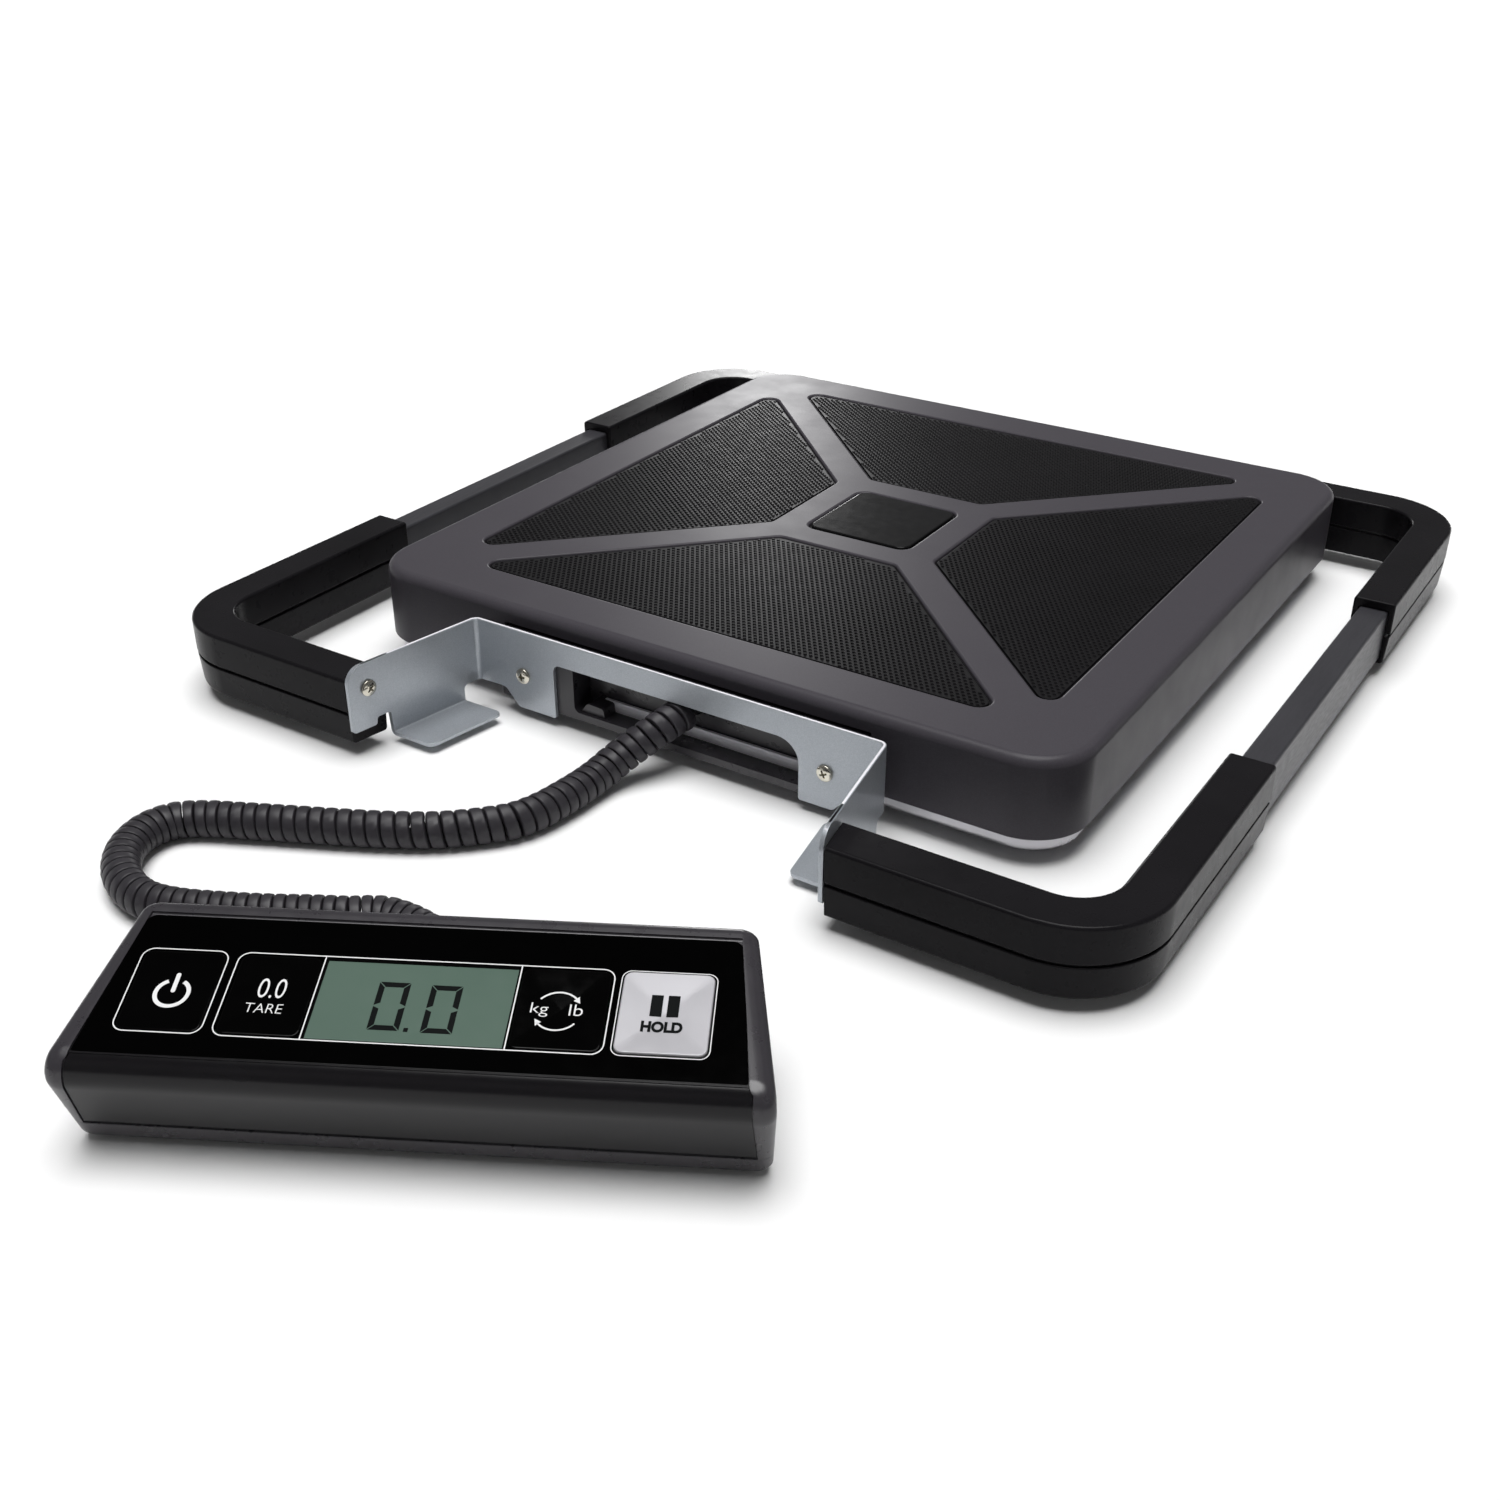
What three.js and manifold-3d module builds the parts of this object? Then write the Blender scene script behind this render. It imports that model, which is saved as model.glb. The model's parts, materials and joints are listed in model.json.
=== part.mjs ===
// Portable platform shipping scale with a detachable display on a curly cord.
// Units are millimetres and +Z is up. The scale stands on the plane z = 0, with the middle of its
// outline at x = 0, y = 0. The display lies in front, on the -Y side.
import * as THREE from 'three';
import Module from 'manifold-3d';
import { mergeVertices } from 'three/addons/utils/BufferGeometryUtils.js';

const wasm = await Module();
wasm.setup();

// ---- driving dimensions ----------------------------------------------------------------------
const GAP = 0.3;                   // clearance left between pieces that touch
const PLATFORM_Y = 120.5;         // platform centre, behind the middle of the whole outline

const COVER_HALF = 152.5;          // 305 mm square weighing platform
const COVER_CORNER = 22;
const COVER_TOP = 42;
const COVER_BOTTOM = 11;
const COVER_THICK = 3;
const SKIRT_THICK = 2;
const COVER_FILLET = 3.8;
const RECESS = 1.4;                // depth of the recesses that hold the pads and the badge
const PAD_GAP = 0.5;
const PAD_OUTER = 128.5;           // platform centre to a pad's long edge
const PAD_INNER = 38.5;            // platform centre to a pad's short edge
const ARM_HALF = 8;                // half width of the diagonal arms between the pads
const BADGE_HALF = 23.7;

const TRAY_HALF = 149.5;
const TRAY_CORNER = 19;
const TRAY_BOTTOM = 4.5;
const TRAY_FLOOR = 6.3;
const TRAY_TOP = 16;
const TRAY_WALL = 1.5;
const TRAY_TAB_TOP = 12.8;         // front wall of the tray where it shows behind the cord
const FOOT_AT = 125;
const FOOT_RADIUS = 11;

const BLOCK_HALF = 79.5;           // plastic blocks that carry the two brackets
const BLOCK_TOP = 33.5;
const BLOCK_DOOR = 1.3;            // room above a block, so the cover can sink

const SHEET = 1.5;                 // bracket sheet
const FRONT_PLATE_Y = -159.5;      // outer face of the front bracket's plate
const FRONT_PLATE_HALF = 91;
const BRACKET_TOP = 36.8;
const WING_BEND = 3.5;             // outer radius of the bend between plate and wing
const WING_FRONT_Y = -218.4;
const WING_SLOPE = 9.5 / 55;       // the wings spread 9.5 mm over 55 mm
const WING_ANGLE = Math.atan(WING_SLOPE);
const WING_LOW = 10.5;             // lower edge of the wings beside the tabs
const TAB = { back: -167.5, front: -201, reach: 20, bottom: 3 };
const PLATE_SCREW = [66.7, 18.2];   // x and z of the screws in the plates
const WING_SCREW = [-210, 26.7];   // y and z of the screws in the front wings
const REAR_BRACKET_TOP = 33.5;
const REAR_PLATE_Y = 155.7;
const REAR_PLATE_HALF = 99.2;
const REAR_WING_Y = 171.5;
const REAR_WING_SCREW = [164.75, 28];

const RAIL_X = 193.4;              // middle of the side rails
const RAIL_FRONT = -210;
const RAIL_REAR = 164.75;
const RAIL_BEND = 24.5;
const RAIL_HALF = 5.7;
const RAIL_BOTTOM = 7.5;
const RAIL_TOP = 28.3;
const RAIL_WALL = 2.2;
const RAIL_END = 116;              // the rails stop here, past the grips' end blocks
const GRIP_HALF = 8.2;
const GRIP_BOTTOM = 5.6;
const GRIP_SPLIT = 18.2;
const GRIP_TOP = 32;
const GRIP_ROUND = 2.4;
const GRIP_TAPER = 0.9;            // how far the lower shells draw in at the bottom outside
const GRIP_FRONT_END = -94;        // where the long legs of the front grips end
const GRIP_REAR_END = 53.5;
const GRIP_REAR_X = 99.5;          // end face of the short legs of the rear grips

const CELL = { halfX: 65, halfY: 15, bottom: 9.2, top: 28.9 };
const CELL_SCREWS = [38, 54];      // distance of the load cell's screws from its middle
const SPIDER_BOTTOM = 31;
const SPIDER_TOP = 34;
const BUFFER_AT = 112;
const BUFFER_RADIUS = 12;

const CORD_RADIUS = 6.5;           // outer radius of the curly cord
const BASE_EXIT = [3.6, 20.5];     // x and z where the cord leaves the base

const DISPLAY_AT = [63.8, -362.3]; // middle of the display's lower front edge
const DISPLAY_TURN = THREE.MathUtils.degToRad(28.4);
const CREASE = [-11, 33.3];        // depth and height of the edge between front wall and face
const BACK_TOP = [48.4, 46.7];
const BACK_BOTTOM = 46.5;
const DISPLAY_BOTTOM = 1.2;
const DISPLAY_SPLIT = 8.6;
const DISPLAY_WALL = 2.2;
const FRONT_HALF = 95;             // half width at the crease
const BACK_HALF = 85.3;            // half width at the back
const FACE_TILT = Math.atan2(BACK_TOP[1] - CREASE[1], BACK_TOP[0] - CREASE[0]);
const PANEL = { front: 6.7, back: 54.3, frontHalf: 87.3, backHalf: 82.2, depth: 1.6 };
const KEYS = {
  power_key: [-78.6, -55.6],
  tare_key: [-52, -29.4],
  unit_key: [24.3, 48.6],
  hold_key: [51.3, 76],
};
const KEY_ROW = [14.6, 41.6];
const LCD = [-28.8, 23.7];
const BOARD_TOP = -8;              // below the face
const BATTERY_RADIUS = 5.2;
const BATTERY_ROW = [12, 24, 36];
const DISPLAY_EXIT = 10.5;         // height of the display's cord gland

// ---- colours and finishes --------------------------------------------------------------------
const paint = (color, roughness, metalness = 0) =>
  new THREE.MeshStandardMaterial({ color, roughness, metalness });
const FINISH = {
  cover: paint('#5a585c', 0.42, 0.2),
  pad: paint('#1c1c1d', 0.8),
  badge: paint('#2e302e', 0.18),
  steel: paint('#b9bcbf', 0.35, 0.9),
  bracket: paint('#8e959b', 0.45, 0.7),
  screw: paint('#b8b4a0', 0.3, 0.9),
  grip: paint('#2a292c', 0.5),
  rail: paint('#46474c', 0.4, 0.3),
  plastic: paint('#1d1c1f', 0.55),
  rubber: paint('#161616', 0.9),
  alloy: paint('#c9cacc', 0.4, 0.9),
  cord: paint('#3a383b', 0.6),
  housing: paint('#3d3d43', 0.45),
  gloss: paint('#050505', 0.1),
  key: paint('#c9cbca', 0.3, 0.4),
  glass: paint('#76947f', 0.2),
  board: paint('#1f5a36', 0.5),
  battery: paint('#7a7d80', 0.35, 0.6),
};

// ---- solids ----------------------------------------------------------------------------------
function solid(geometry) {
  geometry.deleteAttribute('normal');
  geometry.deleteAttribute('uv');
  const merged = mergeVertices(geometry, 1e-4);
  return new wasm.Manifold(new wasm.Mesh({
    numProp: 3,
    vertProperties: new Float32Array(merged.attributes.position.array),
    triVerts: new Uint32Array(merged.index.array),
  }));
}

function join(...geometries) {
  return fromSolid(geometries.map(solid).reduce((a, b) => a.add(b)));
}

function cut(geometry, ...tools) {
  return fromSolid(tools.map(solid).reduce((a, b) => a.subtract(b), solid(geometry)));
}

function fromSolid(manifold) {
  const mesh = manifold.getMesh();
  const geometry = new THREE.BufferGeometry();
  geometry.setAttribute('position', new THREE.BufferAttribute(mesh.vertProperties, 3));
  geometry.setIndex(new THREE.BufferAttribute(mesh.triVerts, 1));
  return geometry;
}

function box([x0, x1], [y0, y1], [z0, z1]) {
  const geometry = new THREE.BoxGeometry(x1 - x0, y1 - y0, z1 - z0);
  return geometry.translate((x0 + x1) / 2, (y0 + y1) / 2, (z0 + z1) / 2);
}

// A round bar, or a cone frustum, from one point to another.
function rod(start, end, radius, endRadius = radius, sides = 14) {
  const from = new THREE.Vector3(...start);
  const along = new THREE.Vector3(...end).sub(from);
  const geometry = new THREE.CylinderGeometry(endRadius, radius, along.length(), sides);
  const turn = new THREE.Quaternion();
  turn.setFromUnitVectors(new THREE.Vector3(0, 1, 0), along.clone().normalize());
  return geometry.applyQuaternion(turn).translate(...from.addScaledVector(along, 0.5));
}

// Corners are [x, y, radius]. Each rounded corner becomes an arc of a few steps.
function rounded(corners, steps = 4) {
  const count = corners.length;
  return corners.flatMap(([x, y, radius], i) => {
    const here = new THREE.Vector2(x, y);
    if (!radius) return [here];
    const back = new THREE.Vector2(...corners[(i + count - 1) % count]).sub(here).normalize();
    const ahead = new THREE.Vector2(...corners[(i + 1) % count]).sub(here).normalize();
    const between = Math.acos(back.dot(ahead));
    const bisector = back.clone().add(ahead).normalize();
    const centre = here.clone().addScaledVector(bisector, radius / Math.sin(between / 2));
    const spoke = here.clone().addScaledVector(back, radius / Math.tan(between / 2)).sub(centre);
    const sweepAngle = Math.sign(ahead.cross(back)) * (Math.PI - between);
    return Array.from({ length: steps + 1 }, (_, k) =>
      spoke.clone().rotateAround(new THREE.Vector2(), sweepAngle * k / steps).add(centre));
  });
}

function roundedSquare(half, radius, steps = 4) {
  return rounded([[half, half, radius], [-half, half, radius], [-half, -half, radius],
    [half, -half, radius]], steps);
}

function prism(outline, bottom, top) {
  const options = { depth: top - bottom, bevelEnabled: false };
  const geometry = new THREE.ExtrudeGeometry(new THREE.Shape(outline), options);
  return geometry.translate(0, 0, bottom);
}

// Joins rings of points into one closed body. The outline is the rings' shape laid flat.
function loft(rings, outline) {
  const count = outline.length;
  const faces = THREE.ShapeUtils.triangulateShape(outline, []);
  const last = (rings.length - 1) * count;
  const index = [];
  for (let ring = 0; ring < rings.length - 1; ring += 1) {
    for (let i = 0; i < count; i += 1) {
      const a = ring * count + i;
      const b = ring * count + (i + 1) % count;
      index.push(a, b, b + count, a, b + count, a + count);
    }
  }
  for (const [a, b, c] of faces) index.push(c, b, a, a + last, b + last, c + last);
  const points = rings.flat();
  const geometry = new THREE.BufferGeometry().setFromPoints(points);
  geometry.setIndex(signedVolume(points, index) > 0 ? index : index.reverse());
  return geometry;
}

function signedVolume(points, index) {
  let volume = 0;
  for (let i = 0; i < index.length; i += 3) {
    const [a, b, c] = [points[index[i]], points[index[i + 1]], points[index[i + 2]]];
    volume += a.dot(new THREE.Vector3().crossVectors(b, c));
  }
  return volume;
}

// A rounded square pan shape: layers are [half width, corner radius, height].
function squareStack(layers) {
  const rings = layers.map(([half, radius, z]) =>
    roundedSquare(half, radius).map((p) => new THREE.Vector3(p.x, p.y, z)));
  return loft(rings, roundedSquare(layers[0][0], layers[0][1]));
}

// Quarter-round layers that turn a wall into a top face.
function filletLayers(half, corner, top, radius, steps = 4) {
  return Array.from({ length: steps + 1 }, (_, k) => {
    const angle = k / steps * Math.PI / 2;
    const inset = radius * (1 - Math.cos(angle));
    return [half - inset, corner - inset, top - radius * (1 - Math.sin(angle))];
  });
}

// Carries a section, given as [sideways, height] points, along a flat path.
function sweep(path, section) {
  const rings = path.map((here, i) => {
    const before = path[Math.max(i - 1, 0)];
    const after = path[Math.min(i + 1, path.length - 1)];
    const inDirection = here.clone().sub(before).normalize();
    const outDirection = after.clone().sub(here).normalize();
    const along = inDirection.add(outDirection).normalize();
    const stretch = i > 0 && i < path.length - 1
      ? 1 / along.dot(after.clone().sub(here).normalize()) : 1;
    const side = new THREE.Vector2(along.y, -along.x).multiplyScalar(stretch);
    return section.map(([offset, z]) =>
      new THREE.Vector3(here.x + side.x * offset, here.y + side.y * offset, z));
  });
  return loft(rings, section.map(([offset, z]) => new THREE.Vector2(offset, z)));
}

function mirrorX(geometry) {
  const mirrored = geometry.clone().scale(-1, 1, 1);
  mirrored.setIndex([...mirrored.index.array].reverse());
  return mirrored;
}

// ---- the assembly ----------------------------------------------------------------------------
const scale = new THREE.Group();
const base = new THREE.Group();
base.position.y = PLATFORM_Y;
scale.add(base);
const display = new THREE.Group();
display.position.set(...DISPLAY_AT, 0);
display.rotation.z = DISPLAY_TURN;
base.add(display);
const face = new THREE.Group();
face.position.set(0, ...CREASE);
face.rotation.x = FACE_TILT;
display.add(face);

function add(parent, name, geometry, finish) {
  const mesh = new THREE.Mesh(geometry, finish);
  mesh.name = name;
  parent.add(mesh);
  return mesh;
}

const SIDES = [['left', -1], ['right', 1]];
const CORNERS = [['front_left', -1, -1], ['front_right', 1, -1], ['rear_left', -1, 1],
  ['rear_right', 1, 1]];

// ---- weighing platform -----------------------------------------------------------------------
// The front pad's outline, drawn in from the recess by a given amount.
function padOutline(inset, corner) {
  const outer = PAD_OUTER - inset;
  const inner = PAD_INNER + inset;
  const slant = ARM_HALF * Math.SQRT2 + inset * (Math.SQRT2 - 1);
  const sharp = corner * 1.2;
  return rounded([[-(inner - slant), -inner, corner], [-(outer - slant), -outer, sharp],
    [outer - slant, -outer, sharp], [inner - slant, -inner, corner]], 4);
}

function platformCover() {
  const outer = squareStack([[COVER_HALF, COVER_CORNER, COVER_BOTTOM],
    ...filletLayers(COVER_HALF, COVER_CORNER, COVER_TOP, COVER_FILLET)]);
  const inner = squareStack([
    [COVER_HALF - SKIRT_THICK, COVER_CORNER - SKIRT_THICK, COVER_BOTTOM - 1],
    ...filletLayers(COVER_HALF - SKIRT_THICK, COVER_CORNER - SKIRT_THICK,
      COVER_TOP - COVER_THICK, COVER_FILLET - SKIRT_THICK, 2)]);
  const recessBottom = COVER_TOP - RECESS;
  const pads = [0, 1, 2, 3].map((quarter) =>
    prism(padOutline(0, 4), recessBottom, COVER_TOP + 1).rotateZ(quarter * Math.PI / 2));
  const badge = prism(roundedSquare(BADGE_HALF + PAD_GAP, 5), recessBottom, COVER_TOP + 1);
  const doors = [-1, 1].map((end) =>
    box([-BLOCK_HALF - 0.8, BLOCK_HALF + 0.8], [end * COVER_HALF - 5, end * COVER_HALF + 5],
      [COVER_BOTTOM - 1, BLOCK_TOP + BLOCK_DOOR]));
  return cut(outer, inner, ...pads, badge, ...doors);
}

add(base, 'platform_cover', platformCover(), FINISH.cover);

['front', 'right', 'rear', 'left'].forEach((place, quarter) => {
  const pad = prism(padOutline(PAD_GAP, 3.6), COVER_TOP - RECESS + GAP, COVER_TOP - 0.1);
  add(base, `grip_pad_${place}`, pad, FINISH.pad).rotation.z = quarter * Math.PI / 2;
});

const badge = prism(roundedSquare(BADGE_HALF, 4.6), COVER_TOP - RECESS + GAP, COVER_TOP - 0.1);
add(base, 'badge_plate', badge, FINISH.badge);

function platformSpider() {
  const reach = BUFFER_AT * Math.SQRT2 + BUFFER_RADIUS;
  const armHalf = 18;
  const flange = 3;
  const parts = [box([-66, 66], [-22, 22], [SPIDER_BOTTOM, SPIDER_TOP])];
  for (const turn of [Math.PI / 4, -Math.PI / 4]) {
    parts.push(box([-reach, reach], [-armHalf, armHalf], [SPIDER_BOTTOM, SPIDER_TOP])
      .rotateZ(turn));
    for (const [end, side] of [[-1, -1], [-1, 1], [1, -1], [1, 1]]) {
      const along = [end * 60, end * 140].sort((a, b) => a - b);
      const across = [side * (armHalf - flange), side * armHalf].sort((a, b) => a - b);
      parts.push(box(along, across, [SPIDER_TOP - 1, SPIDER_TOP + 3]).rotateZ(turn));
    }
  }
  parts.push(box([30, 62], [-14, 14], [CELL.top + GAP, SPIDER_BOTTOM + 1]));
  const holes = CELL_SCREWS.map((x) => rod([x, 0, CELL.top - 1], [x, 0, SPIDER_TOP + 1], 3.3));
  return cut(join(...parts), ...holes);
}

add(base, 'platform_spider', platformSpider(), FINISH.steel);

for (const [place, x, y] of CORNERS) {
  const buffer = rod([0, 0, SPIDER_TOP + GAP], [0, 0, COVER_TOP - COVER_THICK - GAP],
    BUFFER_RADIUS);
  const mesh = add(base, `rubber_buffer_${place}`, buffer, FINISH.rubber);
  mesh.position.set(x * BUFFER_AT, y * BUFFER_AT, 0);
}

// A pan-head screw along +Z. Its head sits on z = 0 and its shank runs below.
function screw(headRadius, headHeight, shankRadius, length) {
  const profile = [[0, -length], [shankRadius, -length], [shankRadius, 0], [headRadius, 0],
    [headRadius, headHeight * 0.4], [headRadius * 0.7, headHeight], [0, headHeight]];
  const points = profile.map(([r, z]) => new THREE.Vector2(r, z));
  return new THREE.LatheGeometry(points, 10).rotateX(Math.PI / 2);
}

CELL_SCREWS.forEach((x, i) => {
  const upper = add(base, `load_cell_upper_screw_${i + 1}`, screw(5.5, 2.7, 3, 14), FINISH.screw);
  upper.position.set(x, 0, SPIDER_TOP + GAP);
  const lower = add(base, `load_cell_lower_screw_${i + 1}`, screw(5.5, 2.6, 3, 13), FINISH.screw);
  lower.position.set(-x, 0, TRAY_BOTTOM - GAP);
  lower.rotation.x = Math.PI;
});

// ---- base ------------------------------------------------------------------------------------
function loadCell() {
  const { halfX, halfY, bottom, top } = CELL;
  const middle = (bottom + top) / 2;
  const bores = [-11, 11].map((x) => rod([x, -halfY - 1, middle], [x, halfY + 1, middle], 7));
  const slot = box([-11, 11], [-halfY - 1, halfY + 1], [middle - 1.5, middle + 1.5]);
  const upper = CELL_SCREWS.map((x) => rod([x, 0, top - 11], [x, 0, top + 1], 3.3));
  const lower = CELL_SCREWS.map((x) => rod([-x, 0, bottom - 1], [-x, 0, bottom + 9.5], 3.3));
  const bar = box([-halfX, halfX], [-halfY, halfY], [bottom, top]);
  return cut(bar, ...bores, slot, ...upper, ...lower);
}

add(base, 'load_cell', loadCell(), FINISH.alloy);

function baseTray() {
  const outer = squareStack([[TRAY_HALF - 2.5, TRAY_CORNER - 2.5, TRAY_BOTTOM],
    [TRAY_HALF - 0.7, TRAY_CORNER - 0.7, TRAY_BOTTOM + 0.8],
    [TRAY_HALF, TRAY_CORNER, TRAY_BOTTOM + 2.5], [TRAY_HALF, TRAY_CORNER, TRAY_TOP]]);
  const inside = [TRAY_HALF - TRAY_WALL, TRAY_CORNER - TRAY_WALL];
  const inner = squareStack([[...inside, TRAY_FLOOR], [...inside, TRAY_TOP + 1]]);
  const opening = [-BLOCK_HALF - 0.5, BLOCK_HALF + 0.5];
  const doors = [-1, 1].map((end) =>
    box(opening, [end * TRAY_HALF - 4, end * TRAY_HALF + 4], [TRAY_FLOOR, TRAY_TOP + 1]));
  const tab = box([-36, 57], [-TRAY_HALF, -TRAY_HALF + TRAY_WALL],
    [TRAY_FLOOR - 0.5, TRAY_TAB_TOP]);
  const seat = box([-62, -30], [-14, 14], [TRAY_FLOOR - 1, CELL.bottom - GAP]);
  const footHoles = CORNERS.map(([, x, y]) =>
    rod([x * FOOT_AT, y * FOOT_AT, 0], [x * FOOT_AT, y * FOOT_AT, 9], 4.3));
  const screwHoles = CELL_SCREWS.map((x) => rod([-x, 0, 0], [-x, 0, 12], 3.3));
  const pan = cut(outer, inner, ...doors);
  return cut(join(pan, tab, seat), ...footHoles, ...screwHoles);
}

add(base, 'base_tray', baseTray(), FINISH.steel);

const footProfile = [[0, 0], [FOOT_RADIUS - 1, 0], [FOOT_RADIUS, 1],
  [FOOT_RADIUS, TRAY_BOTTOM - GAP], [4, TRAY_BOTTOM - GAP], [4, TRAY_FLOOR + GAP],
  [6, TRAY_FLOOR + GAP], [4.5, TRAY_FLOOR + 2.3], [0, TRAY_FLOOR + 2.3]];
for (const [place, x, y] of CORNERS) {
  const points = footProfile.map(([r, z]) => new THREE.Vector2(r, z));
  const foot = new THREE.LatheGeometry(points, 16).rotateX(Math.PI / 2);
  add(base, `rubber_foot_${place}`, foot, FINISH.rubber)
    .position.set(x * FOOT_AT, y * FOOT_AT, 0);
}

// The front block carries the bracket and the cord. Its recess opens towards the cord window.
const RECESS_X = [-44, 57.5];
const RECESS_Z = [8.6, 30];

function plateScrewHoles(y0, y1) {
  const [x, z] = PLATE_SCREW;
  return [-1, 1].map((side) => rod([side * x, y0, z], [side * x, y1, z], 2.1, 2.1, 12));
}

function frontBlock() {
  const faceY = FRONT_PLATE_Y + SHEET + GAP;
  const backY = -144;
  const body = box([-BLOCK_HALF, BLOCK_HALF], [faceY, backY], [TRAY_FLOOR + GAP, BLOCK_TOP]);
  const lip = box([-76, 76], [faceY, -TRAY_HALF - 0.6], [4.9, TRAY_FLOOR + 1]);
  const recess = box(RECESS_X, [faceY - 1, -147.7], RECESS_Z);
  const tabSlot = box([-36.3, 57.4], [-TRAY_HALF - GAP, -147.7], [TRAY_FLOOR, 11]);
  const [exitX, exitZ] = BASE_EXIT;
  const exit = rod([exitX, -150, exitZ], [exitX, -143, exitZ], 3.8);
  const holes = plateScrewHoles(faceY - 1, -148);
  return cut(join(body, lip), recess, tabSlot, exit, ...holes);
}

add(base, 'front_block', frontBlock(), FINISH.plastic);

function rearBlock() {
  const faceY = REAR_PLATE_Y - SHEET - GAP;
  const body = box([-BLOCK_HALF, BLOCK_HALF], [144, faceY], [TRAY_FLOOR + GAP, BLOCK_TOP]);
  const pocket = box([-55, 55], [143, faceY - 2.5], [10, 30]);
  return cut(body, pocket, ...plateScrewHoles(146, faceY + 1));
}

add(base, 'rear_block', rearBlock(), FINISH.plastic);

function baseGland() {
  const [x, z] = BASE_EXIT;
  const neck = rod([x, -141.5, z], [x, -152, z], 3.5, 3.2, 16);
  const flange = rod([x, -142, z], [x, -143.7, z], 6, 6, 16);
  return join(neck, flange);
}

add(base, 'base_cord_gland', baseGland(), FINISH.rubber);

// ---- brackets --------------------------------------------------------------------------------
// A plate in the X-Z plane, given by its outline, between two Y values.
function uprightPlate(outline, y0, y1) {
  return prism(outline, -y1, -y0).rotateX(Math.PI / 2);
}

function frontPlate() {
  const half = FRONT_PLATE_HALF - 3;
  const ear = 4;
  const edge = 11;
  const outline = rounded([
    [half, edge, 0], [half, BRACKET_TOP, 0], [-half, BRACKET_TOP, 0], [-half, edge, 0],
    [-76, edge, 3], [-70, ear, 3], [-52, ear, 1], [-52, 27, 3], [56, 27, 9], [56, ear, 1],
    [70, ear, 3], [76, edge, 3]], 4);
  return uprightPlate(outline, FRONT_PLATE_Y, FRONT_PLATE_Y + SHEET);
}

// x of the right front wing's outer face at a given y.
function wingOuter(y) {
  return FRONT_PLATE_HALF + (FRONT_PLATE_Y - WING_BEND - y) * WING_SLOPE;
}

// The right wing and its bend, as a plan-view strip, and the side outline it is cut to.
function frontWing() {
  const inner = FRONT_PLATE_HALF - SHEET;
  const tip = wingOuter(WING_FRONT_Y);
  const back = FRONT_PLATE_Y + SHEET;
  const strip = rounded([
    [FRONT_PLATE_HALF - WING_BEND, back, 0], [FRONT_PLATE_HALF - WING_BEND, FRONT_PLATE_Y, 0],
    [inner, FRONT_PLATE_Y, WING_BEND - SHEET], [tip - SHEET, WING_FRONT_Y, 0],
    [tip, WING_FRONT_Y, 0], [FRONT_PLATE_HALF, back, WING_BEND]], 4);
  const wall = prism(strip, 0, BRACKET_TOP);
  const side = rounded([
    [WING_FRONT_Y - 1, 50, 0], [WING_FRONT_Y - 1, -5, 0], [back + 1, -5, 0], [back + 1, 50, 0]]);
  const kept = rounded([
    [back + 0.5, BRACKET_TOP, 0], [WING_FRONT_Y, BRACKET_TOP, 7], [WING_FRONT_Y, WING_LOW, 1.5],
    [TAB.front - 7, WING_LOW, 1], [TAB.front - 6.5, WING_LOW + 3, 1.2],
    [TAB.front - 0.5, WING_LOW + 3, 1.2], [TAB.front, TAB.bottom, 0], [TAB.back, TAB.bottom, 0],
    [TAB.back, WING_LOW, 2], [back + 0.5, WING_LOW, 0]], 3);
  return [wall, side, kept];
}

function wingBody() {
  const [wall, side, kept] = frontWing();
  const shape = new THREE.Shape(side);
  shape.holes.push(new THREE.Path(kept));
  const waste = new THREE.ExtrudeGeometry(shape, { depth: 30, bevelEnabled: false });
  // The outline's x runs along Y and its y runs along Z.
  waste.applyMatrix4(new THREE.Matrix4().makeBasis(
    new THREE.Vector3(0, 1, 0), new THREE.Vector3(0, 0, 1), new THREE.Vector3(1, 0, 0)));
  return cut(wall, waste.translate(80, 0, 0));
}

function frontTab() {
  const [back, front] = [wingOuter(TAB.back), wingOuter(TAB.front)];
  const outline = rounded([[back - TAB.reach, TAB.back, 2.5], [front - TAB.reach, TAB.front, 2.5],
    [front - 0.4, TAB.front, 0], [back - 0.4, TAB.back, 0]], 3);
  return prism(outline, TAB.bottom, TAB.bottom + SHEET);
}

// A point on the right front wing screw's axis, measured outwards from the wing's inner face.
function wingScrewPoint(distance) {
  const [y, z] = WING_SCREW;
  const x = wingOuter(y) - SHEET;
  return [x + distance * Math.cos(WING_ANGLE), y + distance * Math.sin(WING_ANGLE), z];
}

function wingScrewHole(radius) {
  return rod(wingScrewPoint(-6), wingScrewPoint(15), radius, radius, 12);
}

function frontBracket() {
  const right = join(wingBody(), frontTab());
  const holes = plateScrewHoles(FRONT_PLATE_Y - 1, FRONT_PLATE_Y + SHEET + 1);
  const wingHole = wingScrewHole(2.2);
  return cut(join(frontPlate(), right, mirrorX(right)), ...holes, wingHole, mirrorX(wingHole));
}

add(base, 'front_bracket', frontBracket(), FINISH.bracket);

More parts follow.
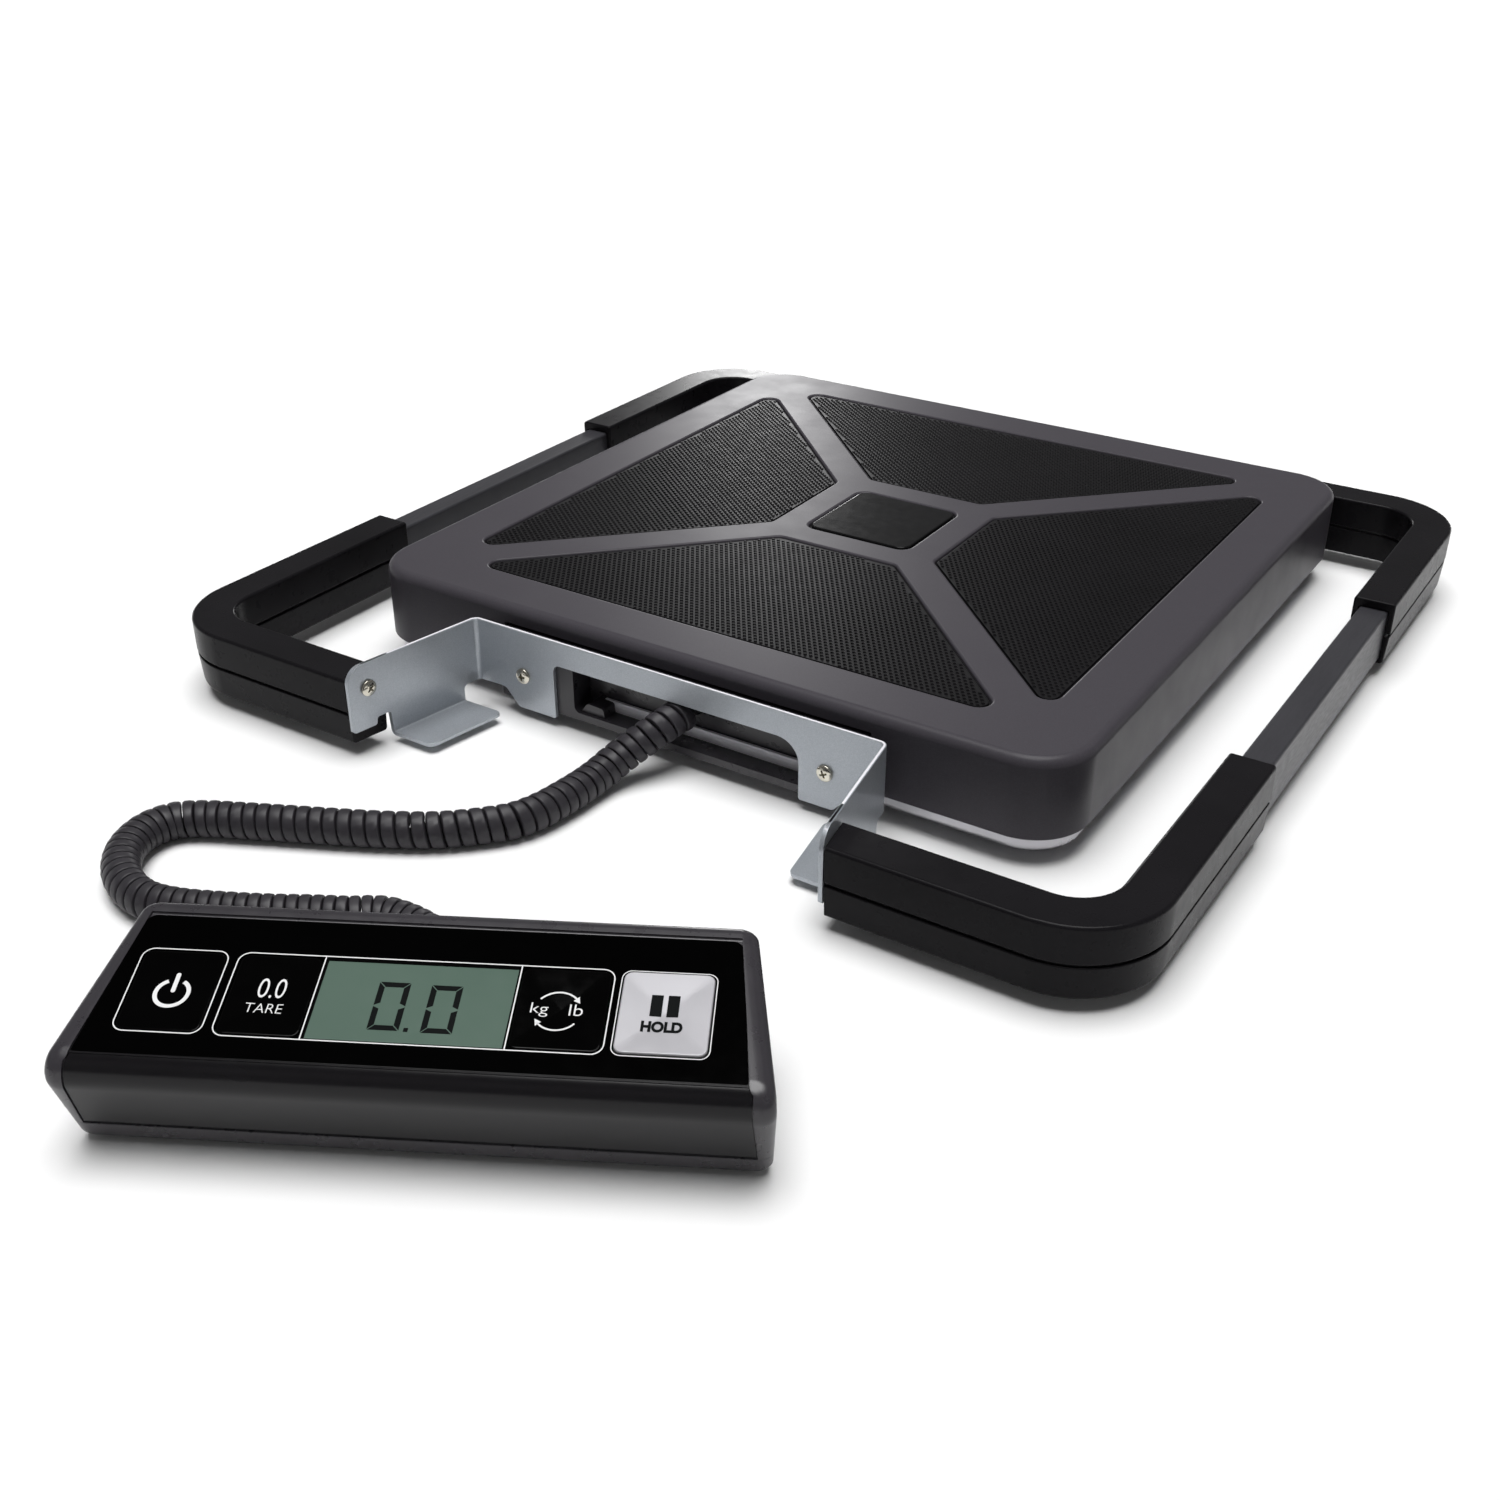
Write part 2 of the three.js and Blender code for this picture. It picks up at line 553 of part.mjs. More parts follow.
function rearBracket() {
  const plateOutline = rounded([[-REAR_PLATE_HALF, 11, 0], [-76, 11, 3], [-70, 4, 3],
    [70, 4, 3], [76, 11, 3], [REAR_PLATE_HALF, 11, 0], [REAR_PLATE_HALF, REAR_BRACKET_TOP, 0],
    [-REAR_PLATE_HALF, REAR_BRACKET_TOP, 0]], 3);
  const plate = uprightPlate(plateOutline, REAR_PLATE_Y - SHEET, REAR_PLATE_Y);
  const wings = [-1, 1].map((side) => {
    const [x0, x1] = [side * REAR_PLATE_HALF, side * (REAR_PLATE_HALF - SHEET)].sort((a, b) => a - b);
    return box([x0, x1], [REAR_PLATE_Y - 1, REAR_WING_Y], [11, REAR_BRACKET_TOP]);
  });
  const [y, z] = REAR_WING_SCREW;
  const across = rod([-120, y, z], [120, y, z], 2.2, 2.2, 12);
  const holes = plateScrewHoles(REAR_PLATE_Y - 3, REAR_PLATE_Y + 1);
  return cut(join(plate, ...wings), across, ...holes);
}

add(base, 'rear_bracket', rearBracket(), FINISH.bracket);

for (const [place, side] of SIDES) {
  const [x, z] = PLATE_SCREW;
  const front = add(base, `front_bracket_screw_${place}`, screw(3.5, 2.3, 1.8, 10), FINISH.screw);
  front.position.set(side * x, FRONT_PLATE_Y - GAP, z);
  front.rotation.x = Math.PI / 2;
  const rear = add(base, `rear_bracket_screw_${place}`, screw(3.5, 2.3, 1.8, 8), FINISH.screw);
  rear.position.set(side * x, REAR_PLATE_Y + GAP, z);
  rear.rotation.x = -Math.PI / 2;
}

for (const [place, side] of SIDES) {
  const [x, y, z] = wingScrewPoint(-GAP);
  const front = add(base, `front_wing_screw_${place}`, screw(3.5, 2.3, 1.8, 12), FINISH.screw);
  front.position.set(side * x, y, z);
  front.rotation.set(0, -side * Math.PI / 2, side * WING_ANGLE, 'ZYX');
  const rear = add(base, `rear_wing_screw_${place}`, screw(3.5, 2.3, 1.8, 12), FINISH.screw);
  rear.position.set(side * (REAR_PLATE_HALF - SHEET - GAP), REAR_WING_SCREW[0], REAR_WING_SCREW[1]);
  rear.rotation.y = -side * Math.PI / 2;
}

// ---- side rails and corner grips -------------------------------------------------------------
// The right rail's middle line: front short leg, corner, long leg, corner, rear short leg.
function railPath(startX, endX, steps = 6) {
  const path = [new THREE.Vector2(startX, RAIL_FRONT)];
  const corners = [[RAIL_FRONT + RAIL_BEND, -90], [RAIL_REAR - RAIL_BEND, 0]];
  for (const [centreY, startAngle] of corners) {
    for (let k = 0; k <= steps; k += 1) {
      const angle = THREE.MathUtils.degToRad(startAngle + 90 * k / steps);
      path.push(new THREE.Vector2(RAIL_X - RAIL_BEND + RAIL_BEND * Math.cos(angle),
        centreY + RAIL_BEND * Math.sin(angle)));
    }
  }
  path.push(new THREE.Vector2(endX, RAIL_REAR));
  return path;
}

function rectangle(half, bottom, top) {
  return [[-half, bottom], [half, bottom], [half, top], [-half, top]];
}

function rail() {
  const outer = sweep(railPath(RAIL_END, RAIL_END),
    rounded([[-RAIL_HALF, RAIL_BOTTOM, 1.2], [RAIL_HALF, RAIL_BOTTOM, 1.2],
      [RAIL_HALF, RAIL_TOP, 1.2], [-RAIL_HALF, RAIL_TOP, 1.2]], 1).map((p) => [p.x, p.y]));
  const inner = sweep(railPath(RAIL_END - 2, RAIL_END - 2),
    rectangle(RAIL_HALF - RAIL_WALL, RAIL_BOTTOM + RAIL_WALL, RAIL_TOP - RAIL_WALL));
  return cut(outer, inner);
}

// Sections of the two grip shells. Positive is the outer side of the bend.
const UPPER_SECTION = rounded([[-GRIP_HALF, GRIP_SPLIT + GAP / 2, 0],
  [GRIP_HALF, GRIP_SPLIT + GAP / 2, 0], [GRIP_HALF, GRIP_TOP, GRIP_ROUND],
  [-GRIP_HALF, GRIP_TOP, GRIP_ROUND]], 3).map((p) => [p.x, p.y]);
const LOWER_SECTION = rounded([[-GRIP_HALF + 0.6, GRIP_BOTTOM, 1.5],
  [GRIP_HALF - GRIP_TAPER, GRIP_BOTTOM, 2], [GRIP_HALF, GRIP_SPLIT - GAP / 2, 0],
  [-GRIP_HALF, GRIP_SPLIT - GAP / 2, 0]], 2).map((p) => [p.x, p.y]);

function gripPath(end) {
  const full = railPath(end < 0 ? 90 : GRIP_REAR_X, GRIP_REAR_X);
  const middle = full.length / 2;
  if (end < 0) return [...full.slice(0, middle), new THREE.Vector2(RAIL_X, GRIP_FRONT_END)];
  return [new THREE.Vector2(RAIL_X, GRIP_REAR_END), ...full.slice(middle)];
}

// Room for the rail inside a grip. The path passes both ends of the long leg.
function gripChannel(end) {
  const full = railPath(RAIL_END - GAP, RAIL_END - GAP);
  const middle = full.length / 2;
  const path = end < 0
    ? [...full.slice(0, middle), new THREE.Vector2(RAIL_X, GRIP_FRONT_END + 5)]
    : [new THREE.Vector2(RAIL_X, GRIP_REAR_END - 5), ...full.slice(middle)];
  return sweep(path, rectangle(RAIL_HALF + GAP, RAIL_BOTTOM - GAP, RAIL_TOP + GAP));
}

// The front grips end against the spread wing of the bracket.
function wingWaste() {
  const atY = (y) => wingOuter(y) + GAP + 0.2;
  const outline = [[80, -190], [80, -225], [atY(-225), -225], [atY(-190), -190]]
    .map(([x, y]) => new THREE.Vector2(x, y));
  return prism(outline, -1, 50);
}

function grip(section, end) {
  const [y, z] = REAR_WING_SCREW;
  const screwHole = end < 0 ? wingScrewHole(2.1) : rod([90, y, z], [112, y, z], 2.1, 2.1, 12);
  const tools = [gripChannel(end), screwHole];
  if (end < 0) tools.push(wingWaste());
  return cut(sweep(gripPath(end), section), ...tools);
}

for (const [place, side] of SIDES) {
  const handed = side > 0 ? (geometry) => geometry : mirrorX;
  add(base, `rail_bar_${place}`, handed(rail()), FINISH.rail);
  for (const [endName, end] of [['front', -1], ['rear', 1]]) {
    const upper = handed(grip(UPPER_SECTION, end));
    const lower = handed(grip(LOWER_SECTION, end));
    add(base, `grip_${endName}_${place}_upper`, upper, FINISH.grip);
    add(base, `grip_${endName}_${place}_lower`, lower, FINISH.grip);
  }
}

// ---- display ---------------------------------------------------------------------------------
const halfWidthAt = (depth) =>
  FRONT_HALF - (FRONT_HALF - BACK_HALF) * (depth - CREASE[0]) / (BACK_TOP[0] - CREASE[0]);

// Side profile of the display, drawn in by a wall thickness, as [depth, height] corners.
function displayProfile(inset) {
  const shrink = (radius) => Math.max(radius - inset, 0.6);
  return rounded([[inset * 1.1, DISPLAY_BOTTOM + inset, shrink(4)],
    [BACK_BOTTOM - inset, DISPLAY_BOTTOM + inset, shrink(4)],
    [BACK_TOP[0] + 0.8 - inset, BACK_TOP[1] - inset, shrink(5)],
    [CREASE[0] + inset * 1.15, CREASE[1] - inset * 0.4, shrink(8)]], 4);
}

function displayBody(inset, endInset) {
  const outline = displayProfile(inset);
  const middle = new THREE.Vector2(18, 24);
  // Each ring: side, how far it stands in from the end, and how much it is drawn in.
  const layers = [[-1, 0, 2.4], [-1, 0.9, 0.7], [-1, 2.6, 0], [1, 2.6, 0], [1, 0.9, 0.7], [1, 0, 2.4]];
  const rings = layers.map(([side, inward, round]) =>
    outline.map((point) => {
      const drawn = point.clone().sub(middle).multiplyScalar(1 - round / 40).add(middle);
      const reach = halfWidthAt(point.x) - endInset - inward;
      return new THREE.Vector3(side * reach, drawn.x, drawn.y);
    }));
  return loft(rings, outline);
}

const EVERYWHERE = [-200, 200];

function trapezoid(margin) {
  return rounded([[-PANEL.frontHalf + margin, PANEL.front + margin, 3],
    [PANEL.frontHalf - margin, PANEL.front + margin, 3],
    [PANEL.backHalf - margin, PANEL.back - margin, 3],
    [-PANEL.backHalf + margin, PANEL.back - margin, 3]], 3);
}

// Takes a shape from the sloping face's own axes to the display's axes.
function onFace(geometry) {
  return geometry.rotateX(FACE_TILT).translate(0, ...CREASE);
}

function glandHole() {
  return rod([0, BACK_BOTTOM - 6, DISPLAY_EXIT], [0, BACK_BOTTOM + 4, DISPLAY_EXIT], 4.3);
}

function displayTop() {
  const shell = cut(displayBody(0, 0), displayBody(DISPLAY_WALL, DISPLAY_WALL),
    box(EVERYWHERE, EVERYWHERE, [-5, DISPLAY_SPLIT + GAP]));
  const ledge = onFace(prism(trapezoid(0), -PANEL.depth, 6));
  const opening = onFace(prism(trapezoid(3), -6, 6));
  return cut(shell, ledge, opening, glandHole());
}

add(display, 'display_top_housing', displayTop(), FINISH.housing);

const DOOR = { x: [-66, -14], y: [8, BACK_BOTTOM], top: DISPLAY_BOTTOM + 1.2 };

function displayBottom() {
  const shell = cut(displayBody(0, 0), displayBody(DISPLAY_WALL, DISPLAY_WALL),
    box(EVERYWHERE, EVERYWHERE, [DISPLAY_SPLIT, 60]));
  const channel = box([DOOR.x[0] - GAP, DOOR.x[1] + GAP], [DOOR.y[0] - GAP, BACK_BOTTOM + 5],
    [0, DOOR.top + GAP]);
  const hatch = box([DOOR.x[0] + 2, DOOR.x[1] - 2], [DOOR.y[0] + 2, BACK_BOTTOM - 4], [0, 5]);
  const feet = [[-80, 6], [80, 6], [-76, 40], [76, 40]].map(([x, y]) =>
    rod([x, y, 0], [x, y, DISPLAY_BOTTOM + 1], 4, 4, 12));
  return cut(join(shell, ...feet), channel, hatch, glandHole());
}

add(display, 'display_bottom_shell', displayBottom(), FINISH.housing);

function batteryDoor() {
  const plate = box(DOOR.x, [DOOR.y[0], DOOR.y[1] - 0.2], [DISPLAY_BOTTOM, DOOR.top]);
  const thumbGroove = box([-48, -32], [36, 39], [0, DISPLAY_BOTTOM + 0.6]);
  return cut(plate, thumbGroove);
}

add(display, 'battery_door', batteryDoor(), FINISH.housing);

BATTERY_ROW.forEach((y, i) => {
  const z = DISPLAY_BOTTOM + DISPLAY_WALL + GAP + BATTERY_RADIUS;
  const can = rod([-62, y, z], [-19, y, z], BATTERY_RADIUS, BATTERY_RADIUS, 16);
  const nipple = rod([-20, y, z], [-17.5, y, z], 1.9, 1.9, 12);
  add(display, `battery_${i + 1}`, join(can, nipple), FINISH.battery);
});

// The tail stands just clear of the back wall, which leans back towards its top.
function displayGland() {
  const outside = BACK_BOTTOM + 1 + GAP;
  const neck = rod([0, BACK_BOTTOM - 5, DISPLAY_EXIT], [0, outside + 1, DISPLAY_EXIT], 4, 4, 16);
  const collar = rod([0, BACK_BOTTOM - 5, DISPLAY_EXIT],
    [0, BACK_BOTTOM - DISPLAY_WALL - GAP, DISPLAY_EXIT], 5.6, 5.6, 16);
  const tail = rod([0, outside, DISPLAY_EXIT], [0, BACK_BOTTOM + 13, DISPLAY_EXIT],
    5.6, 3.4, 16);
  return join(neck, collar, tail);
}

add(display, 'display_cord_gland', displayGland(), FINISH.rubber);

function keyOutline([x0, x1], margin, radius = 3) {
  const [y0, y1] = KEY_ROW;
  return rounded([[x0 + margin, y0 + margin, radius], [x1 - margin, y0 + margin, radius],
    [x1 - margin, y1 - margin, radius], [x0 + margin, y1 - margin, radius]], 3);
}

function overlay() {
  const plate = prism(trapezoid(GAP), -PANEL.depth + 0.2, -0.1);
  const windows = Object.values(KEYS).map((span) => prism(keyOutline(span, 0, 2), -3, 1));
  return cut(plate, ...windows, prism(keyOutline(LCD, 0, 0.6), -3, 1));
}

add(face, 'display_overlay', overlay(), FINISH.gloss);

for (const [name, span] of Object.entries(KEYS)) {
  const cap = prism(keyOutline(span, 0.35, 1.8), -2.2, 0);
  const middle = (span[0] + span[1]) / 2;
  const row = (KEY_ROW[0] + KEY_ROW[1]) / 2;
  const stem = rod([middle, row, -6.4], [middle, row, -2], 3, 3, 12);
  add(face, name, join(cap, stem), name === 'hold_key' ? FINISH.key : FINISH.gloss);
}

add(face, 'lcd_panel', prism(keyOutline(LCD, 0.35, 0.5), BOARD_TOP + GAP, -0.9), FINISH.glass);

function circuitBoard() {
  const row = (KEY_ROW[0] + KEY_ROW[1]) / 2;
  const board = box([-80, 80], [12, 47], [BOARD_TOP - 1.6, BOARD_TOP]);
  const switches = Object.values(KEYS).map(([x0, x1]) =>
    box([(x0 + x1) / 2 - 3, (x0 + x1) / 2 + 3], [row - 3, row + 3],
      [BOARD_TOP - 0.5, BOARD_TOP + 0.8]));
  return join(board, ...switches);
}

add(face, 'circuit_board', circuitBoard(), FINISH.board);

// ---- curly cord ------------------------------------------------------------------------------
// Middle line of the coil, from the base to the display, in the platform's axes.
const CORD_ROUTE = [
  [3.6, -152.7, 20.5], [3.5, -155.5, 20.4], [2.3, -160, 19.6], [-0.2, -166, 17.4],
  [-4.3, -173, 13.6], [-8, -181, 9.6], [-9.7, -189, 7.1], [-10.2, -197, 6.6], [-11, -207, 6.6],
  [-12.6, -218, 6.6], [-15.9, -227.2, 6.6], [-21.2, -234.1, 6.6], [-33.3, -245.7, 6.6],
  [-47.6, -254.8, 6.6], [-63, -262.8, 6.6], [-78.8, -270.5, 6.6], [-94.6, -278.3, 6.6],
  [-106.5, -284.6, 6.6], [-113.6, -291, 6.6], [-116, -300, 6.6], [-113.2, -310.3, 6.6],
  [-105.9, -319.1, 6.6], [-95.8, -325, 6.6], [-84, -327.3, 6.6], [-72.5, -324.9, 6.6],
  [-60.7, -319.6, 6.6], [-46.5, -312.2, 6.6], [-33, -304.2, 6.6], [-24, -299.2, 6.6],
];

// The last stretch turns towards the display's back wall, in the display's axes.
const CORD_END = [[-35.5, 98.1, 6.6], [-26.5, 94.6, 6.6], [-17.5, 88.3, 6.7], [-9, 79.6, 7.4],
  [-2.8, 71, 9.2], [-0.3, 64.5, 10.3], [0, BACK_BOTTOM + 13 + GAP, DISPLAY_EXIT]];

function cordRoute() {
  display.updateMatrix();
  const end = CORD_END.map((point) => new THREE.Vector3(...point).applyMatrix4(display.matrix));
  return [...CORD_ROUTE.map((point) => new THREE.Vector3(...point)), ...end];
}

function curlyCord() {
  const curve = new THREE.CatmullRomCurve3(cordRoute(), false, 'centripetal');
  const sides = 8;
  const section = new THREE.Shape(Array.from({ length: sides }, (_, k) =>
    new THREE.Vector2(CORD_RADIUS, 0).rotateAround(new THREE.Vector2(), k * 2 * Math.PI / sides)));
  return new THREE.ExtrudeGeometry(section, { steps: 44, extrudePath: curve });
}

add(base, 'curly_cord', curlyCord(), FINISH.cord);

export default scale;
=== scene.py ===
"""Looks of the platform shipping scale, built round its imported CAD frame."""

import json
import math

import bmesh
import bpy
from mathutils import Matrix, Vector


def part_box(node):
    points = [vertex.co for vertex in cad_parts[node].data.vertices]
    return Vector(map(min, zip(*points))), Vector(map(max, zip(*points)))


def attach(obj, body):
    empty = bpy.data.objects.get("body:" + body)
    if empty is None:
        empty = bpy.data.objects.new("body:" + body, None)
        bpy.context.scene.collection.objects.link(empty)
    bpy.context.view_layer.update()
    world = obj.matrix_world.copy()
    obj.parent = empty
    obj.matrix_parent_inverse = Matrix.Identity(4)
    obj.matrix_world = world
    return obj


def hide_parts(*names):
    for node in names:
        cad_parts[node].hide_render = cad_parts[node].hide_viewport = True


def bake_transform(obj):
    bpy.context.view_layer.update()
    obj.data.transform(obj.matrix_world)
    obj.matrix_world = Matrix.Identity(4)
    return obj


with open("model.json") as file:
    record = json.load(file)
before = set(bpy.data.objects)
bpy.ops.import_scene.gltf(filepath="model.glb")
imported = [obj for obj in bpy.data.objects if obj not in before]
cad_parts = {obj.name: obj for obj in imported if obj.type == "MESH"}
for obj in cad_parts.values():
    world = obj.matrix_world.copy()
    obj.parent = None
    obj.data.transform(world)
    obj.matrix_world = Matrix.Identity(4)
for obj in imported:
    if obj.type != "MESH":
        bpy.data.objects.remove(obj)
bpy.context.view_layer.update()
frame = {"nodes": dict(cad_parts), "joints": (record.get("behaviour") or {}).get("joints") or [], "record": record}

# ---- places ----
# Shapes are drawn in millimetres in the axes of the platform, the display or its sloping face.
MM = 0.001
QUARTER = math.pi / 2


def middle(node):
    low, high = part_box(node)
    return (low + high) / 2


DOOR_X, DOOR_Y = (-66, -14), (8, 46.3)          # battery door, in the display's axes
CREASE = (-11, 33.3)                            # depth and height of the display's front edge
FACE_BACK = (48.4, 46.7)                        # the same where the face ends at the back
FACE_TILT = math.atan2(FACE_BACK[1] - CREASE[1], FACE_BACK[0] - CREASE[0])

door_slide = next(j["axis"] for j in frame["joints"] if j["name"] == "battery_door_slide")
turn = Matrix.Rotation(math.atan2(-door_slide[0], door_slide[1]), 4, "Z")
door_middle = Vector((sum(DOOR_X) / 2, sum(DOOR_Y) / 2, 0)) * MM
display_at = middle("battery_door") - turn @ door_middle
display_at.z = 0

PLATFORM = Matrix.Translation((0, middle("platform_cover").y, 0)) @ Matrix.Scale(MM, 4)
DISPLAY = Matrix.Translation(display_at) @ turn @ Matrix.Scale(MM, 4)
FACE = DISPLAY @ Matrix.Translation((0, *CREASE)) @ Matrix.Rotation(FACE_TILT, 4, "X")
BODY_OF = {n: b for b, nodes in frame["record"]["behaviour"]["bodies"].items() for n in nodes}


# ---- camera ----
def linked(name, data):
    """A new object in the scene."""
    obj = bpy.data.objects.new(name, data)
    bpy.context.scene.collection.objects.link(obj)
    return obj


def make_camera():
    data = bpy.data.cameras.new("camera")
    data.lens = 40.87
    data.sensor_width = 36
    data.clip_start = 0.01
    camera = linked("camera", data)
    camera.location = (0.31835, -0.47643, 0.31796)
    aim = Vector((-0.46984, 0.72778, -0.49959))
    camera.rotation_euler = aim.to_track_quat("-Z", "Y").to_euler()
    bpy.context.scene.camera = camera


make_camera()


# ---- outlines ----
def corner_frame(corners, i):
    """A corner's point, the directions to its neighbours, and half the angle between them."""
    here = Vector(corners[i][:2])
    back = (Vector(corners[i - 1][:2]) - here).normalized()
    ahead = (Vector(corners[(i + 1) % len(corners)][:2]) - here).normalized()
    return here, back, ahead, back.angle(ahead) / 2


def rounded(corners, steps=8):
    """A closed outline from (x, y, radius) corners. Each radius becomes an arc."""
    points = []
    for i, (_, _, radius) in enumerate(corners):
        here, back, ahead, half = corner_frame(corners, i)
        if not radius:
            points.append(here)
            continue
        centre = here + (back + ahead).normalized() * radius / math.sin(half)
        spoke = here + back * radius / math.tan(half) - centre
        sweep_angle = math.copysign(math.pi - 2 * half, ahead.cross(back))
        points += [centre + Matrix.Rotation(sweep_angle * k / steps, 2) @ spoke
                   for k in range(steps + 1)]
    return points


def inset(corners, amount):
    """Anticlockwise corners drawn in by an amount, with their arcs kept concentric."""
    result = []
    for i, (_, _, radius) in enumerate(corners):
        here, back, ahead, half = corner_frame(corners, i)
        side = math.copysign(1, ahead.cross(back))
        moved = here + (back + ahead).normalized() * side * amount / math.sin(half)
        result.append((moved.x, moved.y, max(radius - side * amount, 0.05) if radius else 0))
    return result


def rectangle(x, y, radius=0.0):
    return [(x[0], y[0], radius), (x[1], y[0], radius), (x[1], y[1], radius),
            (x[0], y[1], radius)]


def square(half, radius):
    return rectangle((-half, half), (-half, half), radius)


# ---- bodies: a list of points and a list of faces ----
def loft(rings, closed=False):
    """Rings of equal length joined into one body, with flat ends or closed on itself."""
    count = len(rings[0])
    points = [Vector(p) for ring in rings for p in ring]
    faces = []
    for low in range(0, len(points) if closed else len(points) - count, count):
        high = (low + count) % len(points)
        faces += [(low + i, low + (i + 1) % count, high + (i + 1) % count, high + i)
                  for i in range(count)]
    if not closed:
        last = len(points) - count
        faces += [tuple(reversed(range(count))), tuple(range(last, last + count))]
    return points, faces


def merge(*shapes):
    points, faces = [], []
    for some, tied in shapes:
        faces += [tuple(i + len(points) for i in face) for face in tied]
        points += some
    return points, faces


def moved(shape, matrix):
    return [matrix @ Vector(p) for p in shape[0]], shape[1]


def shifted(shape, x, y, z=0):
    return moved(shape, Matrix.Translation((x, y, z)))


def mirrored(shape):
    return moved(shape, Matrix.Diagonal((-1, 1, 1, 1)))


def stack(corners, layers, steps=8):
    """A body of level rings. Layers are (amount drawn in, height)."""
    rings = []
    for amount, z in layers:
        outline = rounded(inset(corners, amount) if amount else corners, steps)
        rings.append([(p.x, p.y, z) for p in outline])
    return loft(rings)


def quarter(along, steps=4, across=None):
    """(inwards, drop) pairs of a quarter round, from the wall to the flat face."""
    across = along if across is None else across
    angles = [QUARTER * k / steps for k in range(steps + 1)]
    return [(along * (1 - math.cos(a)), across * (1 - math.sin(a))) for a in angles]


def slab(corners, bottom, top, edge=0.4, foot=None, steps=8, edge_steps=3):
    """An upright body with rounded top and bottom edges."""
    foot = edge if foot is None else foot
    low = [(i, bottom + d) for i, d in reversed(quarter(foot, edge_steps))] if foot else [(0, bottom)]
    high = [(i, top - d) for i, d in quarter(edge, edge_steps)] if edge else [(0, top)]
    return stack(corners, low + high, steps)


def along_x(shape):
    """Takes a body drawn in (y, z, x) to (x, y, z)."""
    return [Vector((p[2], p[0], p[1])) for p in shape[0]], shape[1]


def along_y(shape):
    """Takes a body drawn in (x, z, y) to (x, y, z)."""
    return [Vector((p[0], p[2], p[1])) for p in shape[0]], shape[1]


def sweep(path, corners, end_round=0.0, steps=3):
    """Carries a section of (sideways, height) corners along a level path."""
    ends = quarter(end_round) if end_round else [(0.0, 0.0)]
    stations = [(0, inward, draw) for inward, draw in ends]
    stations += [(i, 0.0, 0.0) for i in range(1, len(path) - 1)]
    stations += [(len(path) - 1, -inward, draw) for inward, draw in reversed(ends)]
    rings = []
    for i, along, draw in stations:
        here, before, after = path[i], path[max(i - 1, 0)], path[min(i + 1, len(path) - 1)]
        into = (here - before).normalized() if i else (after - here).normalized()
        out = (after - here).normalized() if i < len(path) - 1 else into
        heading = (into + out).normalized()
        side = Vector((heading.y, -heading.x)) / heading.dot(out)
        centre = here + heading * along
        section = rounded(inset(corners, draw) if draw else corners, steps)
        rings.append([(centre.x + side.x * p.x, centre.y + side.y * p.x, p.y) for p in section])
    return loft(rings)


def lathe(profile, sides=40):
    """A body turned round the Z axis from (radius, height) points."""
    rings = []
    for radius, z in profile:
        radius = max(radius, 0.01)
        rings.append([(radius * math.cos(2 * math.pi * k / sides),
                       radius * math.sin(2 * math.pi * k / sides), z) for k in range(sides)])
    return loft(rings)


def pointed(shape, start, direction):
    """Puts a body drawn along +Z at a point, turned to a direction."""
    turn = Vector(direction).to_track_quat("Z", "Y").to_matrix().to_4x4()
    return moved(shape, Matrix.Translation(start) @ turn)


def rod(start, end, radius, sides=32):
    length = (Vector(end) - Vector(start)).length
    shape = lathe([(radius, 0), (radius, length)], sides)
    return pointed(shape, start, Vector(end) - Vector(start))


def brick(x, y, z):
    return slab(rectangle(x, y), z[0], z[1], 0, 0)


# ---- pieces ----
def mesh_object(name, shape):
    mesh = bpy.data.meshes.new(name)
    build = bmesh.new()
    points = [build.verts.new(p) for p in shape[0]]
    for face in shape[1]:
        build.faces.new([points[i] for i in face])
    bmesh.ops.recalc_face_normals(build, faces=build.faces)
    build.to_mesh(mesh)
    build.free()
    return linked(name, mesh)


def settle(obj):
    """Applies an object's modifiers."""
    bpy.context.view_layer.update()
    seen = obj.evaluated_get(bpy.context.evaluated_depsgraph_get())
    mesh = bpy.data.meshes.new_from_object(seen)
    obj.modifiers.clear()
    obj.data = mesh


def combine(obj, shapes, operation):
    for shape in shapes:
        tool = mesh_object("tool", shape)
        modifier = obj.modifiers.new("combine", "BOOLEAN")
        modifier.operation = operation
        modifier.solver = "MANIFOLD"
        modifier.object = tool
        settle(obj)
        bpy.data.objects.remove(tool)


def soften(obj, width):
    modifier = obj.modifiers.new("soften", "BEVEL")
    modifier.width = width
    modifier.segments = 2
    modifier.limit_method = "ANGLE"
    modifier.angle_limit = math.radians(40)
    modifier.use_clamp_overlap = True
    modifier.miter_outer = "MITER_ARC"
    settle(obj)


def shade(obj, angle):
    obj.data.shade_smooth()
    obj.data.set_sharp_from_angle(angle=math.radians(angle))
    modifier = obj.modifiers.new("normals", "WEIGHTED_NORMAL")
    modifier.keep_sharp = True
    modifier.weight = 60
    settle(obj)


def piece(name, shape, place, slot, nodes=(), body=None, paint=None, join=(), cut=(), soft=0.0,
          sharp=32):
    """One finished piece. It stands for the CAD nodes it names and rides on their body."""
    obj = mesh_object(name, shape)
    combine(obj, join, "UNION")
    combine(obj, cut, "DIFFERENCE")
    if soft:
        soften(obj, soft)
    shade(obj, sharp)
    obj.data.transform(place)
    obj.data.materials.clear()
    obj.data.materials.append(FINISH[paint or slot])
    nodes = [nodes] if isinstance(nodes, str) else list(nodes)
    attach(obj, body or BODY_OF[nodes[0]])
    if nodes:
        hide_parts(*nodes)
    return obj


